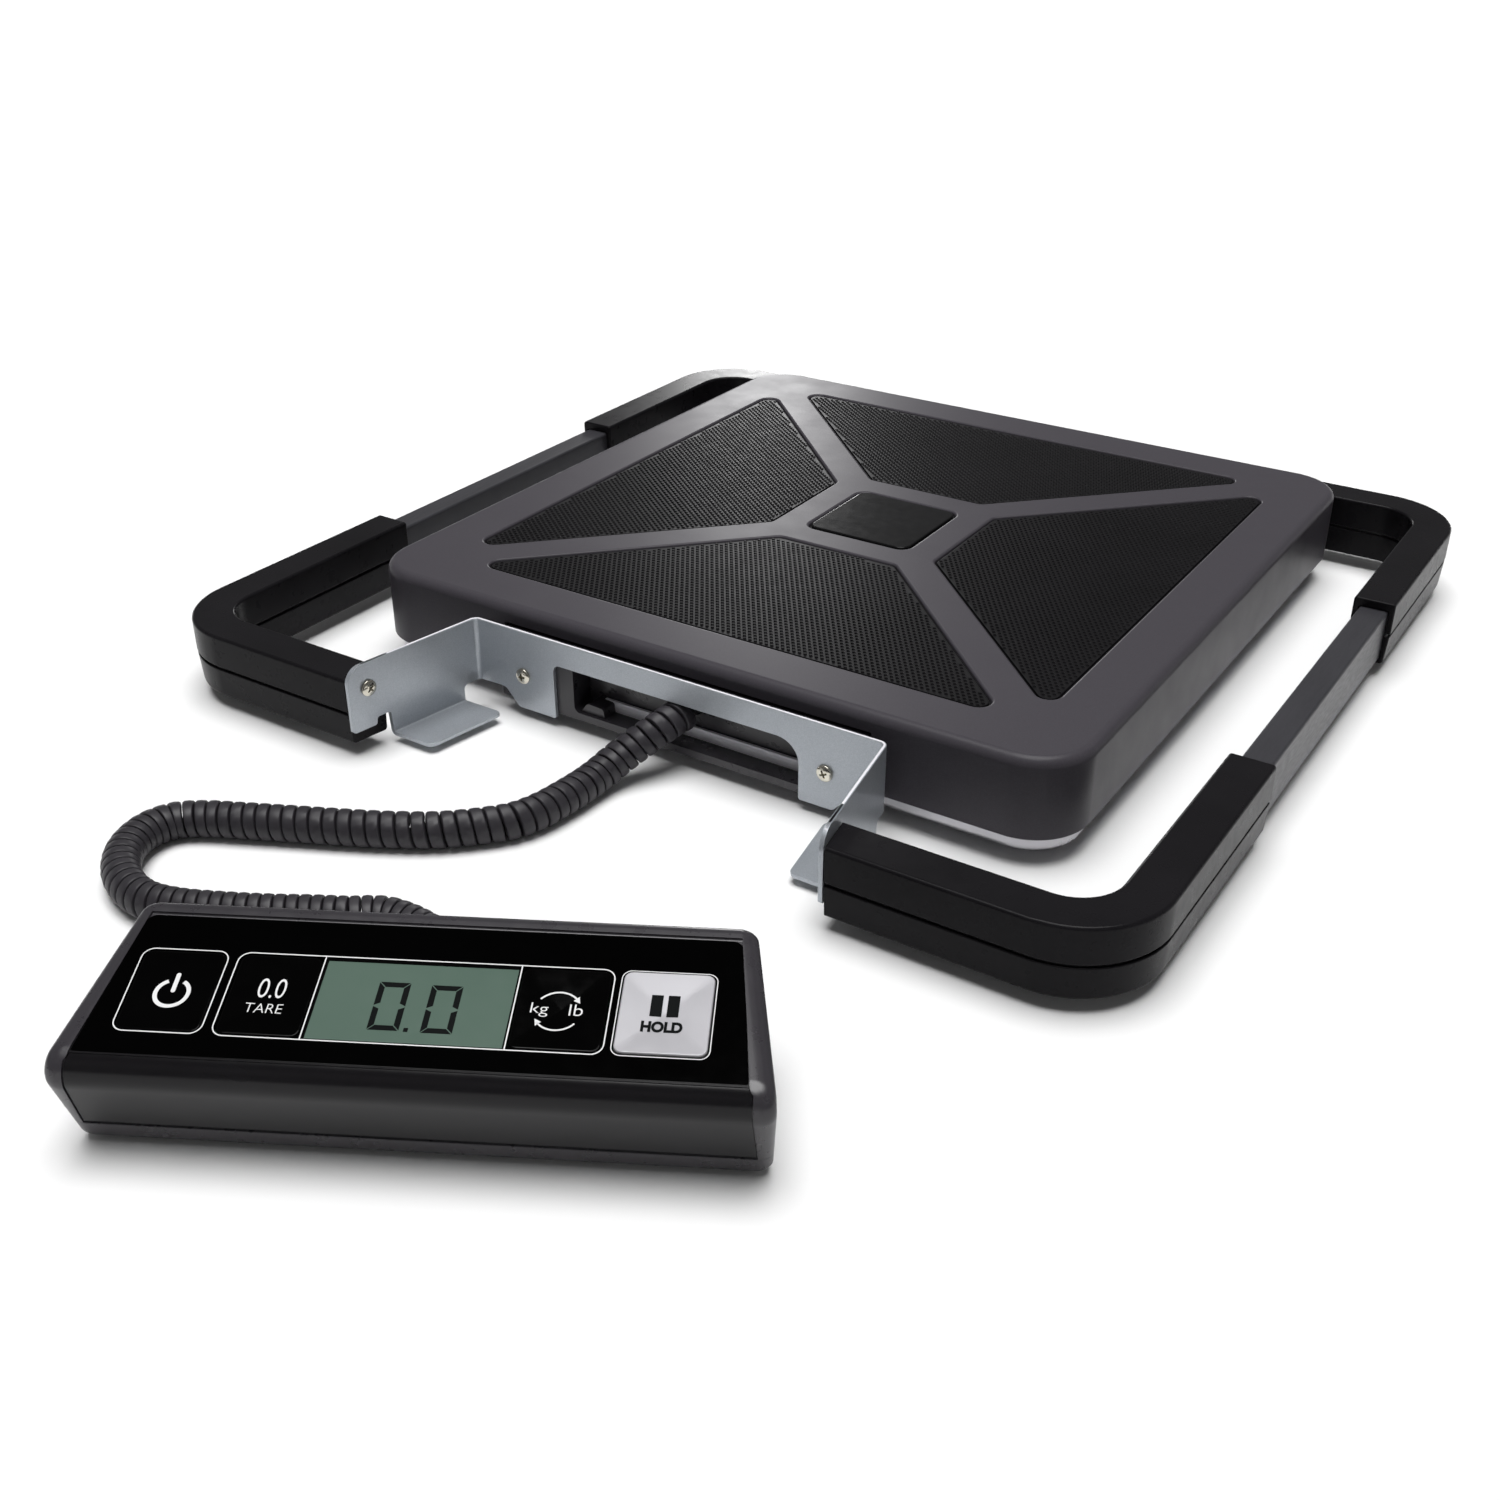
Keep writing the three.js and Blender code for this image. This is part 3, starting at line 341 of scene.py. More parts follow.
# ---- materials ----
def feed(tree, target, **inputs):
    """Gives each named input of a shader node a value or another node's output."""
    for name, value in inputs.items():
        socket = target.inputs[name.replace("_", " ")]
        if isinstance(value, bpy.types.NodeSocket):
            tree.links.new(value, socket)
        else:
            socket.default_value = value


def node(tree, kind, **inputs):
    made = tree.nodes.new("ShaderNode" + kind)
    feed(tree, made, **inputs)
    return made


def shader(name, metallic=0.0, specular=0.5):
    made = bpy.data.materials.new(name)
    made.use_nodes = True
    principled = made.node_tree.nodes["Principled BSDF"]
    feed(made.node_tree, principled, Metallic=metallic, Specular_IOR_Level=specular)
    return made, made.node_tree, principled


def grain(tree, scale, stretch=(1, 1, 1)):
    """Noise with so many cells to a metre, stretched along an axis where asked."""
    where = node(tree, "TexCoord").outputs["Object"]
    mapping = node(tree, "Mapping", Vector=where, Scale=stretch).outputs["Vector"]
    return node(tree, "TexNoise", Vector=mapping, Scale=scale, Detail=3.0).outputs["Fac"]


def spread(tree, value, low, high, start=0.3, end=0.7):
    """Maps a value from start..end to low..high."""
    return node(tree, "MapRange", Value=value, From_Min=start, From_Max=end, To_Min=low,
                To_Max=high).outputs["Result"]


def colours(tree, value, dark, light, start=0.3, end=0.7):
    """Maps a value from start..end to dark..light."""
    ramp = node(tree, "ValToRGB", Fac=value)
    for stop, place, colour in zip(ramp.color_ramp.elements, (start, end), (dark, light)):
        stop.position = place
        stop.color = (*colour, 1)
    return ramp.outputs["Color"]


def relief(tree, value, depth):
    """A bump as deep as so many millimetres."""
    return node(tree, "Bump", Height=value, Distance=depth * MM, Strength=1.0).outputs["Normal"]


def surface(name, dark, light, rough, fine=2500, depth=0.01, broad=25, stretch=(1, 1, 1), **gloss):
    """A moulded, painted or metal surface: broad tone, fine grain, uneven gloss and relief."""
    made, tree, principled = shader(name, **gloss)
    feed(tree, principled, Base_Color=colours(tree, grain(tree, broad, stretch), dark, light),
         Roughness=spread(tree, grain(tree, fine / 12, stretch), *rough),
         Normal=relief(tree, grain(tree, fine, stretch), depth))
    return made


def flecked(name, dark, light, rough, cell, depth, **gloss):
    """Paint with small flakes: each cell has its own tone."""
    made, tree, principled = shader(name, **gloss)
    where = node(tree, "TexCoord").outputs["Object"]
    cells = node(tree, "TexVoronoi", Vector=where, Scale=cell).outputs["Color"]
    feed(tree, principled, Base_Color=colours(tree, cells, dark, light, 0.1, 0.9),
         Roughness=spread(tree, grain(tree, 60), *rough),
         Normal=relief(tree, grain(tree, 1400), depth))
    return made


def grey(value, blue=1.04):
    return (value, value * 0.985, value * blue)


def tinted(value):
    """A grey with a little violet in it."""
    return (value * 1.02, value * 0.94, value * 1.1)


# One finish for each slot. Five more are paints, for pieces that differ from the rest of
# their slot: painted highlight, block, mark, ink and front wall. The painted highlight is
# near white and stands for the light glinting off the bracket's top edge and the tray's tab.
FINISH = {
    "platform_cover": flecked("cover paint", tinted(0.048), tinted(0.057), (0.33, 0.39), 3500,
                              0.006, specular=0.14),
    "grip_pad": surface("pad rubber", tinted(0.004), tinted(0.006), (0.34, 0.42), specular=0.10),
    "badge": surface("badge plastic", grey(0.006), grey(0.009), (0.14, 0.18), depth=0.002,
                     specular=0.11),
    "steel": surface("zinc plated steel", grey(0.40), grey(0.50), (0.26, 0.36), fine=1500,
                     depth=0.004, metallic=0.9),
    "screw": surface("nickel plated screw", (0.56, 0.53, 0.45), (0.72, 0.69, 0.60), (0.14, 0.26),
                     depth=0.003, metallic=1.0),
    "rubber": surface("black rubber", grey(0.010), grey(0.016), (0.6, 0.8), fine=1800,
                      depth=0.02, specular=0.3),
    "load_cell": surface("milled aluminium", grey(0.55), grey(0.68), (0.25, 0.4), depth=0.003,
                         stretch=(1, 12, 1), metallic=1.0),
    "black_plastic": surface("black plastic", tinted(0.007), tinted(0.010), (0.34, 0.46),
                             specular=0.25),
    "bracket": flecked("silver paint", (0.36, 0.387, 0.42), (0.45, 0.477, 0.51), (0.30, 0.38),
                       4200, 0.006, metallic=0.55),
    # Near white: a painted highlight for the light glinting off the bracket's top edge and the tray's tab.
    "painted highlight": surface("painted edge highlight", grey(0.76), grey(0.82), (0.3, 0.4), depth=0.001),
    "block": surface("block plastic", tinted(0.024), tinted(0.032), (0.26, 0.34), specular=0.5),
    "rail": surface("dark anodised rail", grey(0.036, 1.12), grey(0.044, 1.12), (0.30, 0.40),
                    depth=0.004, stretch=(6, 1, 6), metallic=0.1, specular=0.25),
    "grip": surface("grip plastic", tinted(0.006), tinted(0.009), (0.26, 0.32), depth=0.003,
                    specular=0.08),
    "cord": surface("cord vinyl", tinted(0.025), tinted(0.031), (0.40, 0.50), fine=1500, depth=0.006,
                    specular=0.3),
    "housing": surface("slate plastic", tinted(0.027), tinted(0.034), (0.26, 0.32),
                       depth=0.003, specular=0.45),
    "overlay": surface("gloss panel", grey(0.0004), grey(0.0006), (0.05, 0.08), depth=0.0005,
                       specular=0.12),
    "key": surface("gloss key", grey(0.0005), grey(0.0008), (0.06, 0.10), depth=0.0005,
                   specular=0.16),
    "hold_key": surface("silver key", grey(0.36), grey(0.40), (0.28, 0.36), depth=0.003,
                        metallic=0.2),
    "lcd": surface("display glass", (0.078, 0.122, 0.098), (0.090, 0.136, 0.110), (0.12, 0.2),
                   depth=0.0008, broad=12, specular=0.2),
    "board": surface("circuit board", (0.01, 0.07, 0.03), (0.015, 0.1, 0.04), (0.3, 0.45)),
    "battery": surface("battery sleeve", (0.10, 0.11, 0.12), (0.14, 0.15, 0.16), (0.25, 0.35),
                       metallic=0.6),
    "mark": surface("white print", (0.66, 0.66, 0.66), (0.74, 0.74, 0.74), (0.4, 0.5),
                    depth=0.001),
    "ink": surface("black print", (0.003, 0.004, 0.004), (0.005, 0.006, 0.006), (0.35, 0.45),
                   depth=0.0, specular=0.03),
    "front wall": surface("front wall plastic", tinted(0.005), tinted(0.007), (0.20, 0.24),
                          depth=0.001, specular=0.24),
}

# ---- curly cord ----
# Middle line of the coil from the base to the display, in the platform's axes.
CORD_ROUTE = [
    (3.6, -152.7, 20.5), (3.5, -155.5, 20.4), (2.3, -160, 19.6), (-0.2, -166, 17.4),
    (-4.3, -173, 13.6), (-8, -181, 9.6), (-9.7, -189, 7.1), (-10.2, -197, 6.6), (-11, -207, 6.6),
    (-12.6, -218, 6.6), (-15.9, -227.2, 6.6), (-21.2, -234.1, 6.6), (-33.3, -245.7, 6.6),
    (-47.6, -254.8, 6.6), (-63, -262.8, 6.6), (-78.8, -270.5, 6.6), (-94.6, -278.3, 6.6),
    (-106.5, -284.6, 6.6), (-113.6, -291, 6.6), (-116, -300, 6.6), (-113.2, -310.3, 6.6),
    (-105.9, -319.1, 6.6), (-95.8, -325, 6.6), (-84, -327.3, 6.6), (-72.5, -324.9, 6.6),
    (-60.7, -319.6, 6.6), (-46.5, -312.2, 6.6), (-33, -304.2, 6.6), (-24, -299.2, 6.6),
]
# The last stretch turns to the display's back wall, in the display's axes.
CORD_END = [(-35.5, 98.1, 6.6), (-26.5, 94.6, 6.6), (-17.5, 88.3, 6.7), (-9, 79.6, 7.4),
            (-2.8, 71, 9.2), (-0.3, 64.5, 10.3), (0, 59.8, 10.5)]
COIL_RADIUS = 4.8            # coil axis to the middle of the wire
# Coil pitch by the share of the length walked from the base.
COIL_PITCH = [(0, 4.2), (0.2, 4.6), (0.3, 5.1), (0.42, 4.6), (0.55, 3.9), (0.75, 4.0),
              (0.9, 3.8), (1, 3.9)]
WIRE = (2.45, 1.7)           # half thickness of the flattened wire, along and across the coil
TURN_STEPS = 22
WIRE_SIDES = 12
LEAD_IN = 1.2                # length over which the coil opens out of each gland


def between(first, last, start, end, at):
    """The point at a knot between two points, each with its own knot."""
    return first.lerp(last, (at - start) / (end - start))


def catmull_rom(points, spacing, steps=24):
    """Points a set distance apart on a centripetal Catmull-Rom curve through the given ones."""
    ends = [points[0] * 2 - points[1], *points, points[-1] * 2 - points[-2]]
    fine = []
    for four in zip(ends, ends[1:], ends[2:], ends[3:]):
        knots = [0.0]
        for a, b in zip(four, four[1:]):
            knots.append(knots[-1] + math.sqrt((b - a).length))
        for step in range(steps):
            t = knots[1] + (knots[2] - knots[1]) * step / steps
            three = [between(four[i], four[i + 1], knots[i], knots[i + 1], t) for i in range(3)]
            two = [between(three[i], three[i + 1], knots[i], knots[i + 2], t) for i in range(2)]
            fine.append(between(*two, knots[1], knots[2], t))
    fine.append(points[-1])
    return evenly(fine, spacing)


def evenly(points, spacing):
    """The same line with its points evenly spaced, at most the given distance apart."""
    total = sum((b - a).length for a, b in zip(points, points[1:]))
    count = math.ceil(total / spacing)
    step, result, walked, target = total / count, [points[0]], 0.0, total / count
    for a, b in zip(points, points[1:]):
        length = (b - a).length
        while walked + length >= target - 1e-9 and len(result) < count:
            result.append(a.lerp(b, (target - walked) / length))
            target += step
        walked += length
    return [*result, points[-1]]


def line_frames(points):
    """At each point of a line: the point, its heading, and two directions across it."""
    across = Vector((0, 0, 1))
    frames = []
    for i, here in enumerate(points):
        heading = (points[min(i + 1, len(points) - 1)] - points[max(i - 1, 0)]).normalized()
        across = (across - heading * across.dot(heading)).normalized()
        frames.append((here, heading, across, heading.cross(across)))
    return frames


def pitch_at(share):
    """The distance between turns at a share of the coil's length."""
    for (low, first), (high, second) in zip(COIL_PITCH, COIL_PITCH[1:]):
        if share <= high:
            return first + (second - first) * (share - low) / (high - low)
    return COIL_PITCH[-1][1]


def helix():
    """The wire's own centre line, with the coil's headings, in the platform's axes."""
    to_platform = PLATFORM.inverted() @ DISPLAY
    route = [Vector(p) for p in CORD_ROUTE] + [to_platform @ Vector(p) for p in CORD_END]
    length = sum((b - a).length for a, b in zip(route, route[1:]))
    walks = [0.0]
    while walks[-1] < length:
        walks.append(walks[-1] + pitch_at(walks[-1] / length) / TURN_STEPS)
    frames = line_frames(catmull_rom(route, 0.03))
    wire, headings = [], []
    for i, walked in enumerate(walks):
        share = min(walked / walks[-1], 1.0)
        here, heading, up, side = frames[round(share * (len(frames) - 1))]
        open_out = min(walked, walks[-1] - walked) / LEAD_IN
        radius = COIL_RADIUS * math.sin(QUARTER * min(open_out, 1))
        angle = 2 * math.pi * i / TURN_STEPS
        wire.append(here + (up * math.cos(angle) + side * math.sin(angle)) * radius)
        headings.append(heading)
    return wire, headings, len(walks) / TURN_STEPS


def superellipse(angle, power=3.4):
    c, s = math.cos(angle), math.sin(angle)
    return (math.copysign(abs(c) ** (2 / power), c), math.copysign(abs(s) ** (2 / power), s))


def make_cord():
    wire, headings, turns = helix()
    rings = []
    for i, here in enumerate(wire):
        along = (wire[min(i + 1, len(wire) - 1)] - wire[max(i - 1, 0)]).normalized()
        # The wire is widest along the coil, and squeezed where its turns come closer.
        axial = headings[i] - along * headings[i].dot(along)
        axial = axial.normalized() if axial.length > 0.2 else along.orthogonal().normalized()
        radial = along.cross(axial)
        near = [wire[k] for k in (i - TURN_STEPS, i + TURN_STEPS) if 0 <= k < len(wire)]
        room = min((here - other).length for other in near)
        half = min(WIRE[0], 0.49 * room)
        ring = []
        for k in range(WIRE_SIDES):
            a, r = superellipse(2 * math.pi * k / WIRE_SIDES)
            ring.append(here + axial * half * a + radial * WIRE[1] * r)
        rings.append(ring)
    obj = mesh_object("curly_cord_wire", loft(rings))
    shade(obj, 60)
    obj.data.transform(PLATFORM)
    obj.data.materials.append(FINISH["cord"])
    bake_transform(obj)
    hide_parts("curly_cord")


make_cord()

# ---- weighing platform ----
COVER_HALF, COVER_CORNER, COVER_TOP, COVER_BOTTOM = 152.5, 22, 42, 11
COVER_FILLET, SKIRT, COVER_THICK = 3.8, 2, 3
RECESS, LIP_ROUND = 1.4, 1.1
PAD_OUTER, PAD_INNER, ARM_HALF = 128.5, 38.5, 8
BADGE_HALF = 23.7
BLOCK_HALF, BLOCK_TOP = 79.5, 33.5


def pad_corners():
    """The front pad's recess, seen from above."""
    slant = ARM_HALF * math.sqrt(2)
    outer, inner = PAD_OUTER - slant, PAD_INNER - slant
    return [(-outer, -PAD_OUTER, 4.8), (outer, -PAD_OUTER, 4.8), (inner, -PAD_INNER, 4),
            (-inner, -PAD_INNER, 4)]


def recess_tool(corners):
    """A recess with an upright wall that rolls over into the top face."""
    bottom = COVER_TOP - RECESS
    rim = [(-i, COVER_TOP - d) for i, d in quarter(LIP_ROUND, 5)]
    return stack(corners, [(0, bottom), *rim, (-LIP_ROUND, COVER_TOP + 1)])


def spun(shape, quarter_turns):
    return moved(shape, Matrix.Rotation(QUARTER * quarter_turns, 4, "Z"))


def make_cover():
    corners = square(COVER_HALF, COVER_CORNER)
    wall = [(0.6, COVER_BOTTOM), (0, COVER_BOTTOM + 0.6)]
    body = stack(corners, wall + [(i, COVER_TOP - d) for i, d in quarter(COVER_FILLET, 10)], 20)
    hollow = stack(inset(corners, SKIRT), [(0, COVER_BOTTOM - 1)] + [
        (i, COVER_TOP - COVER_THICK - d) for i, d in quarter(COVER_FILLET - SKIRT, 4)], 12)
    cuts = [hollow, *[spun(recess_tool(pad_corners()), k) for k in range(4)],
            recess_tool(square(BADGE_HALF + 0.5, 5))]
    for end in (-1, 1):
        door = slab(rectangle((-BLOCK_HALF - 0.8, BLOCK_HALF + 0.8), (0, 10), 0),
                    COVER_BOTTOM - 1, BLOCK_TOP + 1.3, 0, 0)
        cuts.append(shifted(door, 0, end * COVER_HALF - 5))
    piece("cover_shell", body, PLATFORM, "platform_cover", "platform_cover", cut=cuts, sharp=28)


def inside(point, outline):
    """Whether a point is inside a convex anticlockwise outline."""
    return all((b - a).cross(point - a) > 0 for a, b in zip(outline, outline[1:] + outline[:1]))


NUB = {"long": 1.1, "wide": 0.74, "height": 0.5, "crown": 0.45}


def nub(at, heading, bottom):
    """A small raised bump, six-sided and longer along the rows."""
    across = Vector((-heading.y, heading.x))
    outline = [(1, 0), (0.5, 1), (-0.5, 1), (-1, 0), (-0.5, -1), (0.5, -1)]
    rings = []
    for share, z in ((1, bottom), (NUB["crown"], bottom + NUB["height"])):
        ring = []
        for u, v in outline:
            p = at + heading * u * NUB["long"] * share + across * v * NUB["wide"] * share
            ring.append((p.x, p.y, z))
        rings.append(ring)
    return loft(rings)


def nub_field(outline, row_angle, row_pitch, nub_pitch, bottom):
    """Rows of bumps, every other row shifted by half a step."""
    heading = Vector((math.cos(math.radians(row_angle)), math.sin(math.radians(row_angle))))
    across = Vector((-heading.y, heading.x))
    reach = 2 * PAD_OUTER
    shapes = []
    for row in range(-int(reach / row_pitch), int(reach / row_pitch)):
        shift = (row % 2) * nub_pitch / 2
        for k in range(-int(reach / nub_pitch), int(reach / nub_pitch)):
            at = across * row * row_pitch + heading * (k * nub_pitch + shift)
            if inside(at, outline):
                shapes.append(nub(at, heading, bottom))
    return merge(*shapes)


PADS = [("front", -55.9, 1.96), ("right", -55.9, 1.96), ("rear", -38, 2.0), ("left", -38, 2.0)]
PAD_TOP = COVER_TOP - 0.55
NUB_PITCH = 2.4
GAP_SHADE_SHEET = 0.12                  # thickness of the dark sheets under the gaps round the pads and the badge: painted shade for the shadow in those gaps


def make_pads():
    for k, (place, row_angle, row_pitch) in enumerate(PADS):
        corners, bottom = inset(pad_corners(), 0.9), COVER_TOP - RECESS
        pad = spun(slab(corners, bottom, PAD_TOP, 0.3, 0), k)
        # A thin sheet of pad rubber under the gap round the pad, darker than the cover's recess floor: painted
        # shade for the shadow in that gap.
        flange = spun(slab(inset(pad_corners(), 0.1), bottom, bottom + GAP_SHADE_SHEET, 0, 0), k)
        limit = [Matrix.Rotation(QUARTER * k, 2) @ p for p in rounded(inset(corners, 0.9), 4)]
        field = nub_field(limit, row_angle, row_pitch, NUB_PITCH, PAD_TOP - 0.05)
        piece(f"pad_{place}", merge(pad, flange, field), PLATFORM, "grip_pad",
              f"grip_pad_{place}", sharp=20)


def make_badge():
    bottom = COVER_TOP - RECESS
    plate = slab(square(BADGE_HALF - 0.5, 4.6), bottom + 0.1, COVER_TOP + 0.15, 0.7, 0, edge_steps=5)
    # A thin sheet of badge plastic under the gap round the badge: painted shade for the shadow in that gap.
    flange = slab(square(BADGE_HALF + 0.4, 4.9), bottom, bottom + GAP_SHADE_SHEET, 0, 0)
    piece("badge", merge(plate, flange), PLATFORM, "badge", "badge_plate")


make_cover()
make_pads()
make_badge()

# ---- base ----
TRAY_HALF, TRAY_CORNER, TRAY_BOTTOM, TRAY_FLOOR, TRAY_TOP = 149.5, 19, 4.5, 6.3, 16
FOOT_AT, FOOT_RADIUS = 125, 11
FRONT_PLATE_Y, SHEET = -159.5, 1.5
REAR_PLATE_Y, REAR_PLATE_HALF, REAR_WING_Y = 155.7, 99.2, 171.5
CORNERS = [("front_left", -1, -1), ("front_right", 1, -1), ("rear_left", -1, 1),
           ("rear_right", 1, 1)]
CELL_SCREWS = (38, 54)
TRAY_TAB_X = (-36, 57)         # where the tray's front edge turns up in front of the block
BAY_X, BAY_Z, BAY_BACK = (-44, 57.5), (8.6, 30), -147.7     # the block's recess for the cord
BLOCK_BACK = 144               # distance of both blocks' inner faces from the middle
BASE_EXIT = (3.6, 20.5)
DISPLAY_EXIT = 10.5            # height of the cord's entry in the display's back wall
PLATE_SCREW = (66.7, 18.2)


def make_tray():
    corners = square(TRAY_HALF, TRAY_CORNER)
    floor = [(i, TRAY_BOTTOM + d) for i, d in reversed(quarter(2.6, 6))]
    body = stack(corners, floor + [(0, TRAY_TOP)], 16)
    hollow = stack(inset(corners, SHEET), [(1.2, TRAY_FLOOR), (0.3, TRAY_FLOOR + 0.4),
                                           (0, TRAY_FLOOR + 1.2), (0, TRAY_TOP + 1)], 16)
    cuts = [hollow]
    for end in (-1, 1):
        y = sorted((end * (TRAY_HALF - 4), end * (TRAY_HALF + 4)))
        cuts.append(brick((-BLOCK_HALF - 0.5, BLOCK_HALF + 0.5), y, (TRAY_FLOOR, TRAY_TOP + 1)))
    cuts += [rod((x * FOOT_AT, y * FOOT_AT, 0), (x * FOOT_AT, y * FOOT_AT, 9), 4.3)
             for _, x, y in CORNERS]
    cuts += [rod((-x, 0, 0), (-x, 0, 12), 3.3) for x in CELL_SCREWS]
    tab = slab(rectangle(TRAY_TAB_X, (-TRAY_HALF, -TRAY_HALF + SHEET)), TRAY_FLOOR - 0.5, 12.8,
               0.3, 0)
    seat = brick((-62, -30), (-14, 14), (TRAY_FLOOR - 1, 8.9))
    piece("tray", body, PLATFORM, "steel", "base_tray", cut=cuts)
    # The whole tab is painted near white: a painted highlight for the light on its rolled top edge.
    piece("tray_tab", tab, PLATFORM, "steel", body="base", paint="painted highlight")
    piece("cell_seat", seat, PLATFORM, "steel", body="base")


def make_feet():
    """The rubber feet below the tray and the buffers above the spider's arms."""
    profile = [(0, 0), (FOOT_RADIUS - 1.2, 0), (FOOT_RADIUS - 0.35, 0.35), (FOOT_RADIUS, 1.2),
               (FOOT_RADIUS, TRAY_BOTTOM - 0.6), (FOOT_RADIUS - 0.3, TRAY_BOTTOM - 0.2),
               (4, TRAY_BOTTOM - 0.2), (4, TRAY_FLOOR + 0.3), (6, TRAY_FLOOR + 0.3),
               (5.4, TRAY_FLOOR + 1.4), (4.2, TRAY_FLOOR + 2.3), (0, TRAY_FLOOR + 2.3)]
    for place, x, y in CORNERS:
        foot = shifted(lathe(profile, 48), x * FOOT_AT, y * FOOT_AT)
        piece(f"foot_{place}", foot, PLATFORM, "rubber", f"rubber_foot_{place}")
        low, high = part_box(f"rubber_buffer_{place}")
        at = (low + high) / 2
        radius, half = (high.x - low.x) / 2 / MM, (high.z - low.z) / 2 / MM
        barrel = [(0, -half), (radius - 1, -half), (radius - 0.2, -half + 0.8), (radius, 0),
                  (radius - 0.2, half - 0.8), (radius - 1, half), (0, half)]
        buffer = shifted(lathe(barrel), *(PLATFORM.inverted() @ at))
        piece(f"buffer_{place}", buffer, PLATFORM, "rubber", f"rubber_buffer_{place}")


def plate_holes(y):
    x, z = PLATE_SCREW
    return [rod((side * x, y[0], z), (side * x, y[1], z), 2.1) for side in (-1, 1)]


def make_blocks():
    face = FRONT_PLATE_Y + SHEET + 0.1
    body = slab(rectangle((-BLOCK_HALF, BLOCK_HALF), (face, -BLOCK_BACK), 0.6), TRAY_FLOOR + 0.1,
                BLOCK_TOP, 0.6, 0)
    lip = brick((-54, 57), (face, -TRAY_HALF - 0.6), (5.6, TRAY_FLOOR + 1))
    bay = along_y(slab(rectangle(BAY_X, BAY_Z, 2.5), face - 1, BAY_BACK, 0, 0))
    exit_hole = rod((BASE_EXIT[0], -150, BASE_EXIT[1]), (BASE_EXIT[0], -143, BASE_EXIT[1]), 3.8)
    slot = brick((TRAY_TAB_X[0] - 0.3, TRAY_TAB_X[1] + 0.4), (-TRAY_HALF - 0.3, BAY_BACK),
                 (TRAY_FLOOR, 11))
    ramp = along_y(slab([(-42, BAY_Z[0], 0), (-31, BAY_Z[0], 0), (-31.5, 12.4, 1), (-39, 12.9, 2.5)],
                        face + 1.5, -147.5, 0, 0))
    piece("front_block_body", body, PLATFORM, "black_plastic", "front_block", paint="block",
          join=[lip], cut=[bay, exit_hole, slot, *plate_holes((face - 1, -148))])
    piece("front_block_ramp", ramp, PLATFORM, "black_plastic", body="base", paint="block")
    rear = slab(rectangle((-BLOCK_HALF, BLOCK_HALF), (BLOCK_BACK, REAR_PLATE_Y - SHEET - 0.1), 0.6),
                TRAY_FLOOR + 0.1, BLOCK_TOP, 0.6, 0)
    pocket = brick((-55, 55), (143, REAR_PLATE_Y - SHEET - 2.8), (10, 30))
    piece("rear_block_body", rear, PLATFORM, "black_plastic", "rear_block",
          cut=[pocket, *plate_holes((146, REAR_PLATE_Y))])


def ribbed_gland(start_radius, end_radius, length, ribs):
    """A tapered strain relief along +Z with rings moulded round it."""
    profile = [(0, 0)]
    for k in range(ribs):
        radius = start_radius + (end_radius - start_radius) * k / (ribs - 1)
        z, rib = length * k / ribs, length / ribs
        profile += [(radius - 0.5, z), (radius, z + 0.15 * rib), (radius, z + 0.6 * rib),
                    (radius - 0.5, z + 0.75 * rib), (radius - 0.55, z + 0.95 * rib)]
    return lathe(profile + [(end_radius - 0.5, length), (0, length)])


def make_glands():
    x, z = BASE_EXIT
    base_neck = pointed(ribbed_gland(3.6, 3.2, 10.5, 4), (x, -141.5, z), (0, -1, 0))
    flange = pointed(lathe([(0, 0), (6, 0), (6, 1.7), (0, 1.7)]), (x, -142, z), (0, -1, 0))
    piece("base_gland", base_neck, PLATFORM, "rubber", "base_cord_gland", join=[flange])
    tail = pointed(ribbed_gland(5.6, 3.5, 11.7, 5), (0, 47.8, DISPLAY_EXIT), (0, 1, 0))
    neck = pointed(lathe([(0, 0), (5.6, 0), (5.6, 2.2), (4, 2.2), (4, 7), (0, 7)]),
                   (0, 41.5, DISPLAY_EXIT), (0, 1, 0))
    piece("display_gland", tail, DISPLAY, "rubber", "display_cord_gland", join=[neck])


make_tray()
make_feet()
make_blocks()
make_glands()

# ---- brackets ----
WING_FRONT_Y, BRACKET_TOP, REAR_BRACKET_TOP = -218.4, 36.8, 33.5
WING_SLOPE = 9.5 / 55
WING_ANGLE = math.atan(WING_SLOPE)
BEND_Y = FRONT_PLATE_Y - 3.5
PLATE_HALF = 91
WING_SCREW = (-210, 26.7)
REAR_WING_SCREW = (164.75, 28)
SCREW_HEAD = (3.15, 1.6)       # radius and height
WING_LOW = 10.5                # lower edge of the wings beside the tabs
TAB = {"back": -167.5, "front": -201, "reach": 20, "bottom": 3, "corner": 2.5}


def wing_outer(y):
    return PLATE_HALF + (BEND_Y - y) * WING_SLOPE


def front_strip(height, draw=0.0):
    """The bent sheet before its outline is cut: wing, bend, plate, bend, wing."""
    mid = SHEET / 2
    tip = (wing_outer(WING_FRONT_Y) - mid, WING_FRONT_Y)
    plate_y = FRONT_PLATE_Y + mid
    bend = (wing_outer(plate_y) - mid, plate_y)
    path = rounded([(-tip[0], tip[1], 0), (-bend[0], bend[1], 2.75), (bend[0], bend[1], 2.75),
                    (tip[0], tip[1], 0)], 8)
    return sweep(path, rectangle((-mid + draw, mid - draw), height, 0.2), steps=1)


def plate_waste():
    corners = [(-88, -1, 0), (88, -1, 0), (88, 11, 0), (76, 11, 3), (70, 4, 3), (56, 4, 1),
               (56, 27, 9), (-52, 27, 3), (-52, 4, 1), (-70, 4, 3), (-76, 11, 3), (-88, 11, 0)]
    return along_y(stack(corners, [(0, -163.5), (0, -150)], 8))


